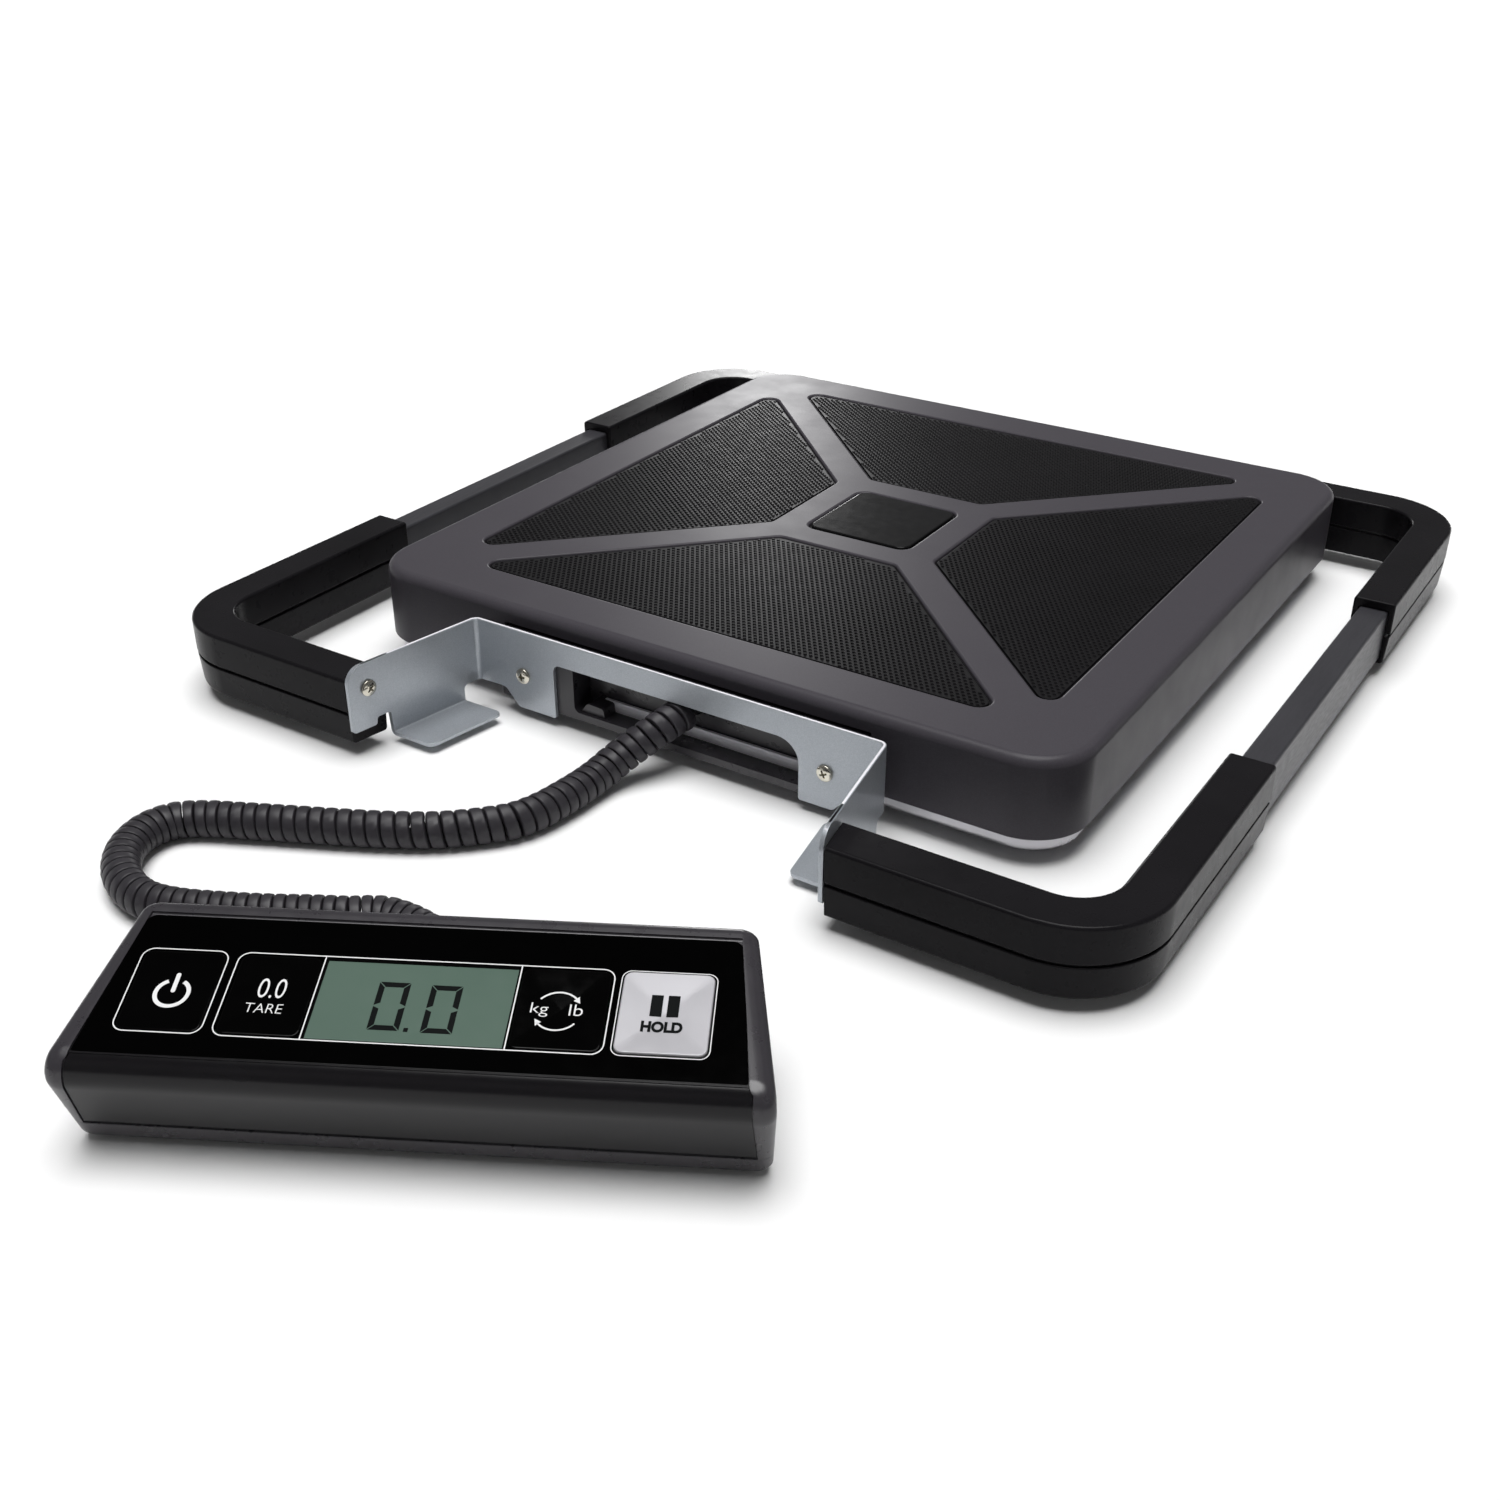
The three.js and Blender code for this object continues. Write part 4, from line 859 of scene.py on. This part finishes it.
def wing_waste():
    """What is cut away below both wings and off their top front corners, as (y, z) outlines."""
    notch, low = TAB["front"], WING_LOW
    below = [(-225, -1, 0), (-150, -1, 0), (-150, 11, 0), (TAB["back"], 11, 2),
             (TAB["back"], TAB["bottom"] + 2, 0), (notch, TAB["bottom"] + 2, 0),
             (notch - 0.5, low + 3, 1.2), (notch - 6.5, low + 3, 1.2), (notch - 7, low, 1),
             (WING_FRONT_Y, low, 1.5), (WING_FRONT_Y, low + 4, 0), (-225, low + 4, 0)]
    corner = [(-225, 20, 0), (WING_FRONT_Y, 20, 0), (WING_FRONT_Y, BRACKET_TOP, 7),
              (-200, BRACKET_TOP, 0), (-200, 45, 0), (-225, 45, 0)]
    tools = []
    for x in ((-120, -86), (86, 120)):
        tools += [along_x(stack(c, [(0, x[0]), (0, x[1])], 8)) for c in (below, corner)]
    return tools


def front_tab():
    """The right wing's lower edge, bent inwards into a tab with rounded ends."""
    rings = []
    steps = quarter(TAB["corner"])
    stations = [(TAB["front"] + a, d) for a, d in steps] + [
        (TAB["back"] - a, d) for a, d in reversed(steps)]
    for y, drawn in stations:
        x, low, reach = wing_outer(y), TAB["bottom"], TAB["reach"] - drawn
        outline = rounded([(x - reach, low, 0.3), (x, low, 2.2), (x, 12, 0), (x - SHEET, 12, 0),
                           (x - SHEET, low + SHEET, 0.7), (x - reach, low + SHEET, 0.3)], 6)
        rings.append([(p.x, y, p.y) for p in outline])
    return loft(rings)


def wing_screw_at(distance):
    """A point on the right front wing screw's axis, outwards from the wing's inner face."""
    y, z = WING_SCREW
    x = wing_outer(y) - SHEET
    return Vector((x + distance * math.cos(WING_ANGLE), y + distance * math.sin(WING_ANGLE), z))


def make_brackets():
    tab = front_tab()
    wing_hole = rod(wing_screw_at(-6), wing_screw_at(15), 2.2)
    # A thin strip on top of the bracket sheet, painted near white: a painted highlight along its top edge.
    piece("front_bracket_edge", front_strip((BRACKET_TOP - 1, BRACKET_TOP + 0.05), 0.2), PLATFORM,
          "bracket", body="base", paint="painted highlight", cut=wing_waste())
    piece("front_bracket_sheet", front_strip((2, BRACKET_TOP)), PLATFORM, "bracket", "front_bracket",
          cut=[plate_waste(), *wing_waste(), wing_hole, mirrored(wing_hole),
               *plate_holes((-165, -150))], soft=0.22)
    piece("front_bracket_tabs", merge(tab, mirrored(tab)), PLATFORM, "bracket", body="base",
          soft=0.22)
    mid = SHEET / 2
    half, plate_y = REAR_PLATE_HALF - mid, REAR_PLATE_Y - mid
    path = rounded([(-half, REAR_WING_Y, 0), (-half, plate_y, 2.75), (half, plate_y, 2.75),
                    (half, REAR_WING_Y, 0)], 8)
    waste = [(-110, -1, 0), (110, -1, 0), (110, 11, 0), (76, 11, 3), (70, 4, 3), (-70, 4, 3),
             (-76, 11, 3), (-110, 11, 0)]
    y, z = REAR_WING_SCREW
    piece("rear_bracket_sheet", sweep(path, rectangle((-mid, mid), (2, REAR_BRACKET_TOP), 0.2), steps=1),
          PLATFORM, "bracket", "rear_bracket", soft=0.22,
          cut=[along_y(stack(waste, [(0, 150), (0, 175)])), rod((-120, y, z), (120, y, z), 2.2),
               *plate_holes((150, 160))])


def screw_shape(radius, height, shank, length):
    """A pan head on z = 0 and its shank below."""
    dome = [(radius * math.cos(a), height * (0.35 + 0.65 * math.sin(a)))
            for a in (QUARTER * k / 8 for k in range(9))]
    return lathe([(0, -length), (shank, -length + 0.4), (shank, 0), (radius, 0), *dome])


def cross_recess(radius, height):
    arm, wide = radius * 0.55, radius * 0.13
    cross = []
    for x, y in ((1, 0), (0, 1), (-1, 0), (0, -1)):
        cross += [(arm * x + wide * y, arm * y - wide * x, 0), (arm * x - wide * y, arm * y + wide * x, 0),
                  (wide * (x - y), wide * (x + y), 0.2)]
    return loft([[(p.x * s, p.y * s, z) for p in rounded(cross, 2)]
                 for s, z in ((0.45, height * 0.1), (1, height + 0.1))])


def make_screws():
    x, z = PLATE_SCREW
    spots = []
    for place, side in (("left", -1), ("right", 1)):
        at = wing_screw_at(-0.1)
        out = (wing_screw_at(-1) - wing_screw_at(0)).normalized()
        spots += [
            (f"front_bracket_screw_{place}", (side * x, FRONT_PLATE_Y - 0.05, z), (0, -1, 0)),
            (f"rear_bracket_screw_{place}", (side * x, REAR_PLATE_Y + 0.05, z), (0, 1, 0)),
            (f"front_wing_screw_{place}", (side * at.x, at.y, at.z), (side * out.x, out.y, 0)),
            (f"rear_wing_screw_{place}", (side * (REAR_PLATE_HALF - SHEET - 0.05),
                                          *REAR_WING_SCREW), (-side, 0, 0)),
        ]
    for name, at, direction in spots:
        spin = Matrix.Rotation(math.radians(25 + 17 * (len(name) % 5)), 4, "Z")
        head = pointed(moved(screw_shape(*SCREW_HEAD, 1.8, 8), spin), at, direction)
        cross = pointed(moved(cross_recess(*SCREW_HEAD), spin), at, direction)
        piece(f"{name}_head", head, PLATFORM, "screw", name, cut=[cross])


make_brackets()
make_screws()

# ---- side rails and corner grips ----
RAIL_X, RAIL_FRONT, RAIL_REAR, RAIL_BEND = 193.4, -210, 164.75, 24.5
RAIL_HALF, RAIL_BOTTOM, RAIL_TOP, RAIL_END = 5.7, 7.5, 28.3, 116
RAIL_WALL = 2.2
GRIP_HALF, GRIP_BOTTOM, GRIP_SPLIT, GRIP_TOP = 8.2, 5.6, 18.2, 32
GRIP_FRONT_END, GRIP_REAR_END, GRIP_REAR_X = -94, 53.5, 99.5
FRONT_BEND, REAR_BEND = (RAIL_X, RAIL_FRONT, RAIL_BEND), (RAIL_X, RAIL_REAR, RAIL_BEND)
SIDES = {"left": mirrored, "right": lambda shape: shape}       # shapes are drawn for the right


def rail_path(end):
    """The right rail's middle line, from the front short leg round to the rear one."""
    return rounded([(end, RAIL_FRONT, 0), FRONT_BEND, REAR_BEND, (end, RAIL_REAR, 0)], 16)


def front_path(start, end_y):
    return rounded([(start, RAIL_FRONT, 0), FRONT_BEND, (RAIL_X, end_y, 0)], 16)


def rear_path(start_y, end):
    return rounded([(RAIL_X, start_y, 0), REAR_BEND, (end, RAIL_REAR, 0)], 16)


UPPER = [(-GRIP_HALF, GRIP_SPLIT + 0.65, 0.5), (GRIP_HALF, GRIP_SPLIT + 0.65, 0.5),
         (GRIP_HALF, GRIP_TOP, 1.3), (-GRIP_HALF, GRIP_TOP, 1.3)]
LOWER = [(-GRIP_HALF + 0.6, GRIP_BOTTOM, 1.2), (GRIP_HALF - 0.9, GRIP_BOTTOM, 1.2),
         (GRIP_HALF - 0.15, GRIP_SPLIT - 0.55, 0.5), (-GRIP_HALF + 0.1, GRIP_SPLIT - 0.55, 0.5)]
SEAM = rectangle((-GRIP_HALF + 1.2, GRIP_HALF - 1.2), (GRIP_SPLIT - 0.9, GRIP_SPLIT + 1), 0.2)


def rail_section(margin, radius):
    """The rail's outline as (sideways, height), drawn in by a margin."""
    return rectangle((-RAIL_HALF + margin, RAIL_HALF - margin),
                     (RAIL_BOTTOM + margin, RAIL_TOP - margin), radius)


def make_grip(name, hand, path, channel, holes):
    """Two shells with a dark seam between them, round the room for the rail."""
    cuts = [sweep(channel, rail_section(-0.35, 0.8), steps=2), *holes]
    cuts = [hand(shape) for shape in cuts]
    for part, section in (("upper", UPPER), ("lower", LOWER)):
        shell = hand(sweep(path, section, end_round=0.7, steps=5))
        piece(f"{name}_{part}_shell", shell, PLATFORM, "grip", f"{name}_{part}", cut=cuts, sharp=35)
    seam = hand(sweep(path, SEAM, end_round=0.9, steps=1))
    piece(f"{name}_seam", seam, PLATFORM, "black_plastic", body="base", cut=cuts)


def wing_side_waste():
    """Cuts the front grips' short legs to the slope of the bracket's wing."""
    gap = 0.5
    outline = [(80, -225, 0), (wing_outer(-225) + gap, -225, 0), (wing_outer(-190) + gap, -190, 0),
               (80, -190, 0)]
    return stack(outline, [(0, -1), (0, 50)])


def make_rails():
    y, z = REAR_WING_SCREW
    front_holes = [wing_side_waste(), rod(wing_screw_at(-6), wing_screw_at(15), 2.1)]
    rear_holes = [rod((90, y, z), (112, y, z), 2.1)]
    for place, hand in SIDES.items():
        tube = sweep(rail_path(RAIL_END), rail_section(0, 1.3), steps=5)
        bore = sweep(rail_path(RAIL_END - 2), rail_section(RAIL_WALL, 0))
        piece(f"rail_{place}", hand(tube), PLATFORM, "rail", f"rail_bar_{place}", cut=[hand(bore)])
        make_grip(f"grip_front_{place}", hand, front_path(90, GRIP_FRONT_END),
                  front_path(RAIL_END - 0.3, GRIP_FRONT_END + 5), front_holes)
        make_grip(f"grip_rear_{place}", hand, rear_path(GRIP_REAR_END, GRIP_REAR_X),
                  rear_path(GRIP_REAR_END - 5, RAIL_END - 0.3), rear_holes)


make_rails()

# ---- display housing ----
FRONT_HALF, BACK_HALF = 95, 85.3
BACK_TOP = (49.2, 46.8)        # the housing's upper back edge, before its rounding
DISPLAY_SPLIT = 8.6
WALL = 2.2
DISPLAY_FOOT = 1.2
CREASE_ROUND = 8
BODY = [(0, DISPLAY_FOOT, 4), (46.5, DISPLAY_FOOT, 4), (*BACK_TOP, 4), (*CREASE, CREASE_ROUND)]
END_ROUND = (5.2, 3.6)         # rounding of the two ends, along the width and across it
RIM_DEPTH = 0.8                # how far the front wall and the face lie below the rim
FACE_LENGTH = 55               # from the crease to the back rim
CHANNEL_HALF = 88.1            # half width of the sunk front wall and face at the crease
PANEL = {"front": 6.7, "back": 54.3, "front_half": 87.3, "back_half": 82.2}
SEAM_TOP = DISPLAY_SPLIT + 0.6


def half_width(depth):
    """Half width of the housing at a depth."""
    return FRONT_HALF - (FRONT_HALF - BACK_HALF) * (depth - CREASE[0]) / (FACE_BACK[0] - CREASE[0])


def display_body(drawn, end_drawn, steps=10):
    """The whole display as one body, drawn in all round and at its two ends."""
    rings = []
    layers = quarter(END_ROUND[0], 8, END_ROUND[1])
    outlines = [(inward, rounded(inset(BODY, drawn + draw), steps)) for inward, draw in layers]
    for inward, outline in outlines:
        rings.append([(-half_width(p.x) + end_drawn + inward, p.x, p.y) for p in outline])
    for inward, outline in reversed(outlines):
        rings.append([(half_width(p.x) - end_drawn - inward, p.x, p.y) for p in outline])
    return loft(rings)


def channel_half(point):
    """Half width of the sunk front wall and face at a (depth, height) point."""
    if point.y > CREASE[1]:
        return CHANNEL_HALF - 0.122 * (point.x - CREASE[0])
    return CHANNEL_HALF + 0.04 * (CREASE[1] - point.y)


def front_channel(depth, bottom):
    """The space over the front wall and the face, from a height on the wall up to the back rim."""
    start, crease, end = channel_path(depth, bottom, FACE_LENGTH)
    wall_out, far, face_out = channel_path(-9, bottom, FACE_LENGTH)
    corners = [(*start, 0.6), (*wall_out, 0), (*far, 0), (*face_out, 0), (*end, 0.6),
               (*crease, CREASE_ROUND - depth)]
    outline = rounded(corners[::-1], 10)
    return loft([[(side * channel_half(p), p.x, p.y) for p in outline] for side in (-1, 1)])


def trapezoid(margin):
    """The face panel's outline."""
    front, back = PANEL["front"] + margin, PANEL["back"] - margin
    wide, narrow = PANEL["front_half"] - margin, PANEL["back_half"] - margin
    return [(-wide, front, 0.75), (wide, front, 0.75), (narrow, back, 3), (-narrow, back, 3)]


def to_display(shape):
    """Takes a body from the face's axes to the display's."""
    return moved(shape, DISPLAY.inverted() @ FACE)


def make_housing():
    everywhere = (-200, 200)
    hollow = display_body(WALL, WALL, 4)
    below = brick(everywhere, everywhere, (-5, DISPLAY_SPLIT + 0.12))
    above = brick(everywhere, everywhere, (DISPLAY_SPLIT, 60))
    gland = rod((0, 40, DISPLAY_EXIT), (0, 51, DISPLAY_EXIT), 4.3)
    well = to_display(stack(trapezoid(2.8), [(0, -7), (0, 6)]))
    piece("display_top", display_body(0, 0), DISPLAY, "housing", "display_top_housing",
          cut=[hollow, below, front_channel(RIM_DEPTH, DISPLAY_SPLIT + 0.3), well, gland], sharp=30)
    channel = brick((DOOR_X[0] - 0.3, DOOR_X[1] + 0.3), (DOOR_Y[0] - 0.3, 51.5), (0, 2.7))
    hatch = brick((DOOR_X[0] + 2, DOOR_X[1] - 2), (DOOR_Y[0] + 2, 42.5), (0, 5))
    foot = lathe([(0, 0), (3.4, 0), (4, 0.5), (4, 2), (0, 2)])
    feet = [shifted(foot, x, y) for x, y in ((-80, 6), (80, 6), (-76, 40), (76, 40))]
    piece("display_bottom", display_body(0, 0), DISPLAY, "housing", "display_bottom_shell",
          cut=[hollow, above, channel, hatch, gland], sharp=30)
    piece("display_feet", merge(*feet), DISPLAY, "rubber", body="display")
    door = slab(rectangle(DOOR_X, DOOR_Y, 1), 1.2, 2.4, 0.25, 0.25)
    ribs = [brick((-48, -32), (y, y + 0.9), (0, 1.6)) for y in (34.5, 36.3, 38.1, 39.9)]
    piece("door", door, DISPLAY, "housing", "battery_door", cut=ribs)


def channel_path(depth, bottom, back):
    """The channel's side view at a depth below the rim: up the wall, over the crease, along."""
    up = (Vector(CREASE) - Vector((0, DISPLAY_FOOT))).normalized()
    along = Vector((math.cos(FACE_TILT), math.sin(FACE_TILT)))
    wall_in, face_in = Vector((up.y, -up.x)), Vector((along.y, -along.x))
    half = math.acos(-up.dot(along)) / 2
    start = Vector((0, DISPLAY_FOOT)) + up * (bottom - DISPLAY_FOOT) / up.y + wall_in * depth
    crease = Vector(CREASE) + (along - up).normalized() * depth / math.sin(half)
    return start, crease, Vector(CREASE) + along * back + face_in * depth


def make_front_wall():
    """A darker skin that lies in the channel, from the seam over the crease to the panel."""
    floor, skin = RIM_DEPTH - 0.02, 0.3
    low, crease, high = channel_path(floor, SEAM_TOP, PANEL["front"] - 0.1)
    top_low, top_crease, top_high = channel_path(skin, SEAM_TOP, PANEL["front"] - 0.1)
    corners = [(*low, 0), (*crease, CREASE_ROUND - floor), (*high, 0), (*top_high, 0),
               (*top_crease, CREASE_ROUND - skin), (*top_low, 0)]
    rings = [[(side * (channel_half(p) - 0.3), p.x, p.y) for p in rounded(corners, 10)]
             for side in (-1, 1)]
    piece("display_front_wall", loft(rings), DISPLAY, "housing", body="display",
          paint="front wall", sharp=30)


make_housing()
make_front_wall()

# ---- display face ----
KEYS = {"power_key": (-78.6, -55.6), "tare_key": (-52, -29.4), "unit_key": (24.3, 48.6),
        "hold_key": (51.3, 76)}
KEY_ROW = (14.6, 41.6)
KEY_GAP = 0.3                  # between a key and its window
LCD = (-28.8, 23.7)
FACE_LEVEL = -0.25             # the panel's surface, below the rim
LCD_LEVEL = -0.95
PRINT = 0.03                   # thickness of the print, above and below its level
KEY_DISH = 0.5                 # depth of the four-sided hollow in each key


def make_overlay():
    plate = slab(trapezoid(0.3), -1.4, FACE_LEVEL, 0.25, 0)
    windows = [stack(rectangle(span, KEY_ROW, 2), [(0, -3), (0, 1)]) for span in KEYS.values()]
    lcd = stack(rectangle(LCD, KEY_ROW, 0.6), [(0.5, -3), (0.5, FACE_LEVEL - 0.5), (0, FACE_LEVEL),
                                               (-0.5, FACE_LEVEL + 0.5)])
    piece("face_panel", plate, FACE, "overlay", "display_overlay", cut=[*windows, lcd])


def key_top(node):
    return 0.45 if node == "hold_key" else FACE_LEVEL + 0.1


def key_surface(node, x, y):
    """Height of a key's dished top."""
    span = KEYS[node]
    across = abs(x - sum(span) / 2) / ((span[1] - span[0]) / 2)
    down = abs(y - sum(KEY_ROW) / 2) / ((KEY_ROW[1] - KEY_ROW[0]) / 2)
    return key_top(node) - KEY_DISH * (1 - min(max(across, down), 1))


def make_keys():
    for node, span in KEYS.items():
        top = key_top(node)
        corners = inset(rectangle(span, KEY_ROW, 2.2 + KEY_GAP), KEY_GAP)
        mid_x, mid_y = sum(span) / 2, sum(KEY_ROW) / 2
        rings = [[(p.x, p.y, -2.2) for p in rounded(corners, 4)]]
        for draw, drop in quarter(0.4, 3):
            rings.append([(p.x, p.y, top - drop) for p in rounded(inset(corners, draw), 4)])
        rim = rounded(inset(corners, 0.4), 4)
        for share in (0.75, 0.5, 0.25, 0.02):
            rings.append([(mid_x + (p.x - mid_x) * share, mid_y + (p.y - mid_y) * share,
                           top - KEY_DISH * (1 - share)) for p in rim])
        stem = rod((mid_x, mid_y, -6.4), (mid_x, mid_y, -2), 3)
        slot = "hold_key" if node == "hold_key" else "key"
        piece(f"{node}_cap", loft(rings), FACE, slot, node, join=[stem], sharp=40)


def ribbon(points, width, level, closed=False):
    """A flat printed line along (x, y) points. Level gives the height under each point."""
    rings = []
    for i, here in enumerate(points):
        before = points[i - 1] if closed or i else here
        after = points[(i + 1) % len(points)] if closed or i < len(points) - 1 else here
        heading = (after - before).normalized()
        side = Vector((-heading.y, heading.x)) * width / 2
        left, right = here + side, here - side
        rings.append([(*left, level(left) + PRINT), (*right, level(right) + PRINT),
                      (*right, level(right) - PRINT), (*left, level(left) - PRINT)])
    return loft(rings, closed)


def patch(corners, level, steps=3):
    """A flat printed patch."""
    points = rounded(corners, steps)
    low = [(p.x, p.y, level(p) - PRINT) for p in points]
    high = [(p.x, p.y, level(p) + PRINT) for p in points]
    return loft([low, high])


def arc(centre, radius, start, end, steps=24):
    return [Vector(centre) + radius * Vector((math.cos(math.radians(a)), math.sin(math.radians(a))))
            for a in (start + (end - start) * k / steps for k in range(steps + 1))]


def words(text, x, y, level, weight=0.0):
    """Raised lettering that fills the given width and height."""
    curve = bpy.data.curves.new("words", "FONT")
    curve.body = text
    curve.offset = weight
    curve.extrude = PRINT
    obj = linked("words", curve)
    bpy.context.view_layer.update()
    mesh = bpy.data.meshes.new_from_object(obj.evaluated_get(bpy.context.evaluated_depsgraph_get()))
    points = [v.co.copy() for v in mesh.vertices]
    faces = [tuple(f.vertices) for f in mesh.polygons]
    bpy.data.objects.remove(obj)
    low = [min(p[k] for p in points) for k in (0, 1)]
    high = [max(p[k] for p in points) for k in (0, 1)]
    placed = []
    for p in points:
        px = x[0] + (x[1] - x[0]) * (p.x - low[0]) / (high[0] - low[0])
        py = y[0] + (y[1] - y[0]) * (p.y - low[1]) / (high[1] - low[1])
        placed.append(Vector((px, py, level(Vector((px, py))) + p.z)))
    return placed, faces


def on_key(node):
    return lambda p: key_surface(node, p.x, p.y) + 0.06


def on_panel(_):
    return FACE_LEVEL + 0.04


def on_glass(_):
    return LCD_LEVEL + 0.02


def printed(name, body, paint, *shapes):
    """Print on the panel or on a key. It has the slot of what it lies on."""
    slot = {"display": "overlay", "hold_key": "hold_key"}.get(body, "key")
    piece(name, merge(*shapes), FACE, slot, body=body, paint=paint, sharp=30)


def make_outlines():
    line = 0.34
    power = rounded(rectangle((-79, -55.3), (14.3, 42), 3.2), 6)
    group = rounded(rectangle((-52.6, 49.1), (14.2, 42), 3.2), 6)
    hold = rounded(rectangle((51, 76.3), (14.3, 42), 2.6), 6)
    lines = [ribbon(power, line, on_panel, True), ribbon(group, line, on_panel, True),
             ribbon(hold, 0.26, on_panel, True)]
    for x in (LCD[0] - 0.3, LCD[1] + 0.3):
        lines.append(ribbon([Vector((x, 14.4)), Vector((x, 41.8))], line, on_panel))
    printed("face_outlines", "display", "mark", *lines)


def make_key_marks():
    level = on_key("power_key")
    centre = (-66.9, 27.3)
    bar = patch(rectangle((centre[0] - 0.6, centre[0] + 0.6), (27.6, 34), 0.55), level)
    ring = ribbon(arc(centre, 4.4, 118, 422, 40), 1.15, level)
    printed("power_mark", "power_key", "mark", ring, bar)
    level = on_key("tare_key")
    printed("tare_mark", "tare_key", "mark", words("0.0", (-44.4, -37.0), (27.3, 33.6), level, -0.006),
            words("TARE", (-46.2, -36.2), (22.2, 25.3), level, -0.012))
    level = on_key("unit_key")
    centre = (35.6, 27.5)
    marks = [words("kg", (28.5, 33.1), (25.5, 29.9), level, -0.008),
             words("lb", (38.6, 42.2), (26.3, 30), level, -0.008)]
    for start in (35, 215):
        marks.append(ribbon(arc(centre, 6.2, start + 6, start + 108, 20), 0.5, level))
        tip, tail = arc(centre, 6.2, start - 8, start + 10, 1)
        spread_out = (tail - Vector(centre)).normalized() * 1.0
        marks.append(patch([(*tip, 0), (*(tail + spread_out), 0), (*(tail - spread_out), 0)], level))
    printed("unit_mark", "unit_key", "mark", *marks)
    level = on_key("hold_key")
    bars = [patch(rectangle((x, x + 3.1), (27, 33.9), 0.1), level) for x in (59.6, 64.0)]
    printed("hold_mark", "hold_key", "ink", *bars, words("HOLD", (57.8, 68.6), (21.8, 25.4), level, 0.05))


def segment_digit(x, y):
    """A seven-segment nought: the six outer bars of the digit."""
    wide, gap = 1.6, 0.2
    (x0, x1), (y0, y1) = x, y
    mid = (y0 + y1) / 2
    bars = []
    for edge, into in ((y1, -1), (y0, 1)):
        bars.append([(x0 + gap, edge), (x1 - gap, edge), (x1 - gap - wide, edge + into * wide),
                     (x0 + gap + wide, edge + into * wide)])
    for edge, into in ((x0, 1), (x1, -1)):
        for low, high in ((y0, mid), (mid, y1)):
            outer = [(edge, low + gap), (edge, high - gap)]
            inner = [(edge + into * wide, high - gap - (wide if high == y1 else wide / 2)),
                     (edge + into * wide, low + gap + (wide if low == y0 else wide / 2))]
            bars.append(outer + inner)
    return [patch([(*p, 0) for p in bar], on_glass) for bar in bars]


def make_lcd():
    corners = rectangle((LCD[0] - 0.2, LCD[1] + 0.2), (KEY_ROW[0] - 0.2, KEY_ROW[1] + 0.2), 0.5)
    glass = slab(corners, -7.7, LCD_LEVEL, 0.15, 0)
    piece("lcd_glass", glass, FACE, "lcd", "lcd_panel")
    digits = segment_digit((-12.9, -4.5), (19, 34.8)) + segment_digit((1.1, 9.5), (18.8, 34.5))
    point = patch(rectangle((-3.3, -2.1), (18.8, 20.1), 0.1), on_glass)
    piece("lcd_digits", merge(*digits, point), FACE, "lcd", body="display", paint="ink")


make_overlay()
make_keys()
make_outlines()
make_key_marks()
make_lcd()

# ---- CAD nodes that show as they are ----
KEPT = {"platform_spider": "steel", "load_cell": "load_cell", "circuit_board": "board",
        **{f"load_cell_{level}_screw_{k}": "screw" for level in ("upper", "lower") for k in (1, 2)},
        **{f"battery_{k}": "battery" for k in (1, 2, 3)}}
for name, slot in KEPT.items():
    kept = frame["nodes"][name]
    kept.data.materials.clear()
    kept.data.materials.append(FINISH[slot])


# ---- floor and light ----
FLOOR_HALF = 12                # metres
# Brightness of the sky by the height of the line of sight (0 level, 1 straight up).
SKY = [(0.0, 0.12), (0.35, 0.14), (0.55, 0.30), (0.75, 0.04), (0.925, 0.04), (0.94, 8.7)]


def make_floor():
    corners = [Vector((x, y, 0)) for x, y, _ in square(FLOOR_HALF, 0)]
    obj = mesh_object("floor", (corners, [(0, 1, 2, 3)]))
    made, tree, principled = shader("floor", specular=0.0)
    tone = colours(tree, grain(tree, 0.4), (0.84, 0.84, 0.84), (0.86, 0.86, 0.86))
    feed(tree, principled, Base_Color=tone, Roughness=1.0)
    obj.data.materials.append(made)


def make_world():
    """A dim studio under one large soft box straight overhead."""
    world = bpy.data.worlds.new("studio")
    world.use_nodes = True
    tree = world.node_tree
    sight = node(tree, "TexCoord").outputs["Generated"]
    height = node(tree, "SeparateXYZ", Vector=sight).outputs["Z"]
    total = None
    for (low, value), (high, following) in zip(SKY, SKY[1:]):
        add = node(tree, "Math")
        tree.links.new(spread(tree, height, 0.0, following - value, low, high), add.inputs[0])
        if total:
            tree.links.new(total, add.inputs[1])
        else:
            add.inputs[1].default_value = SKY[0][1]
        total = add.outputs[0]
    feed(tree, tree.nodes["Background"], Color=total)
    bpy.context.scene.world = world


def area_light(name, at, aim, size, power):
    data = bpy.data.lights.new(name, "AREA")
    data.shape = "RECTANGLE"
    data.size, data.size_y = size
    data.energy = power
    obj = linked(name, data)
    obj.location = at
    obj.rotation_euler = (Vector(aim) - Vector(at)).to_track_quat("-Z", "Y").to_euler()


make_floor()
make_world()
area_light("back left", (-1.4, 2.23, 0.58), (0, 0.12, 0), (0.22, 0.5), 7)
bpy.context.scene.view_settings.view_transform = "Standard"
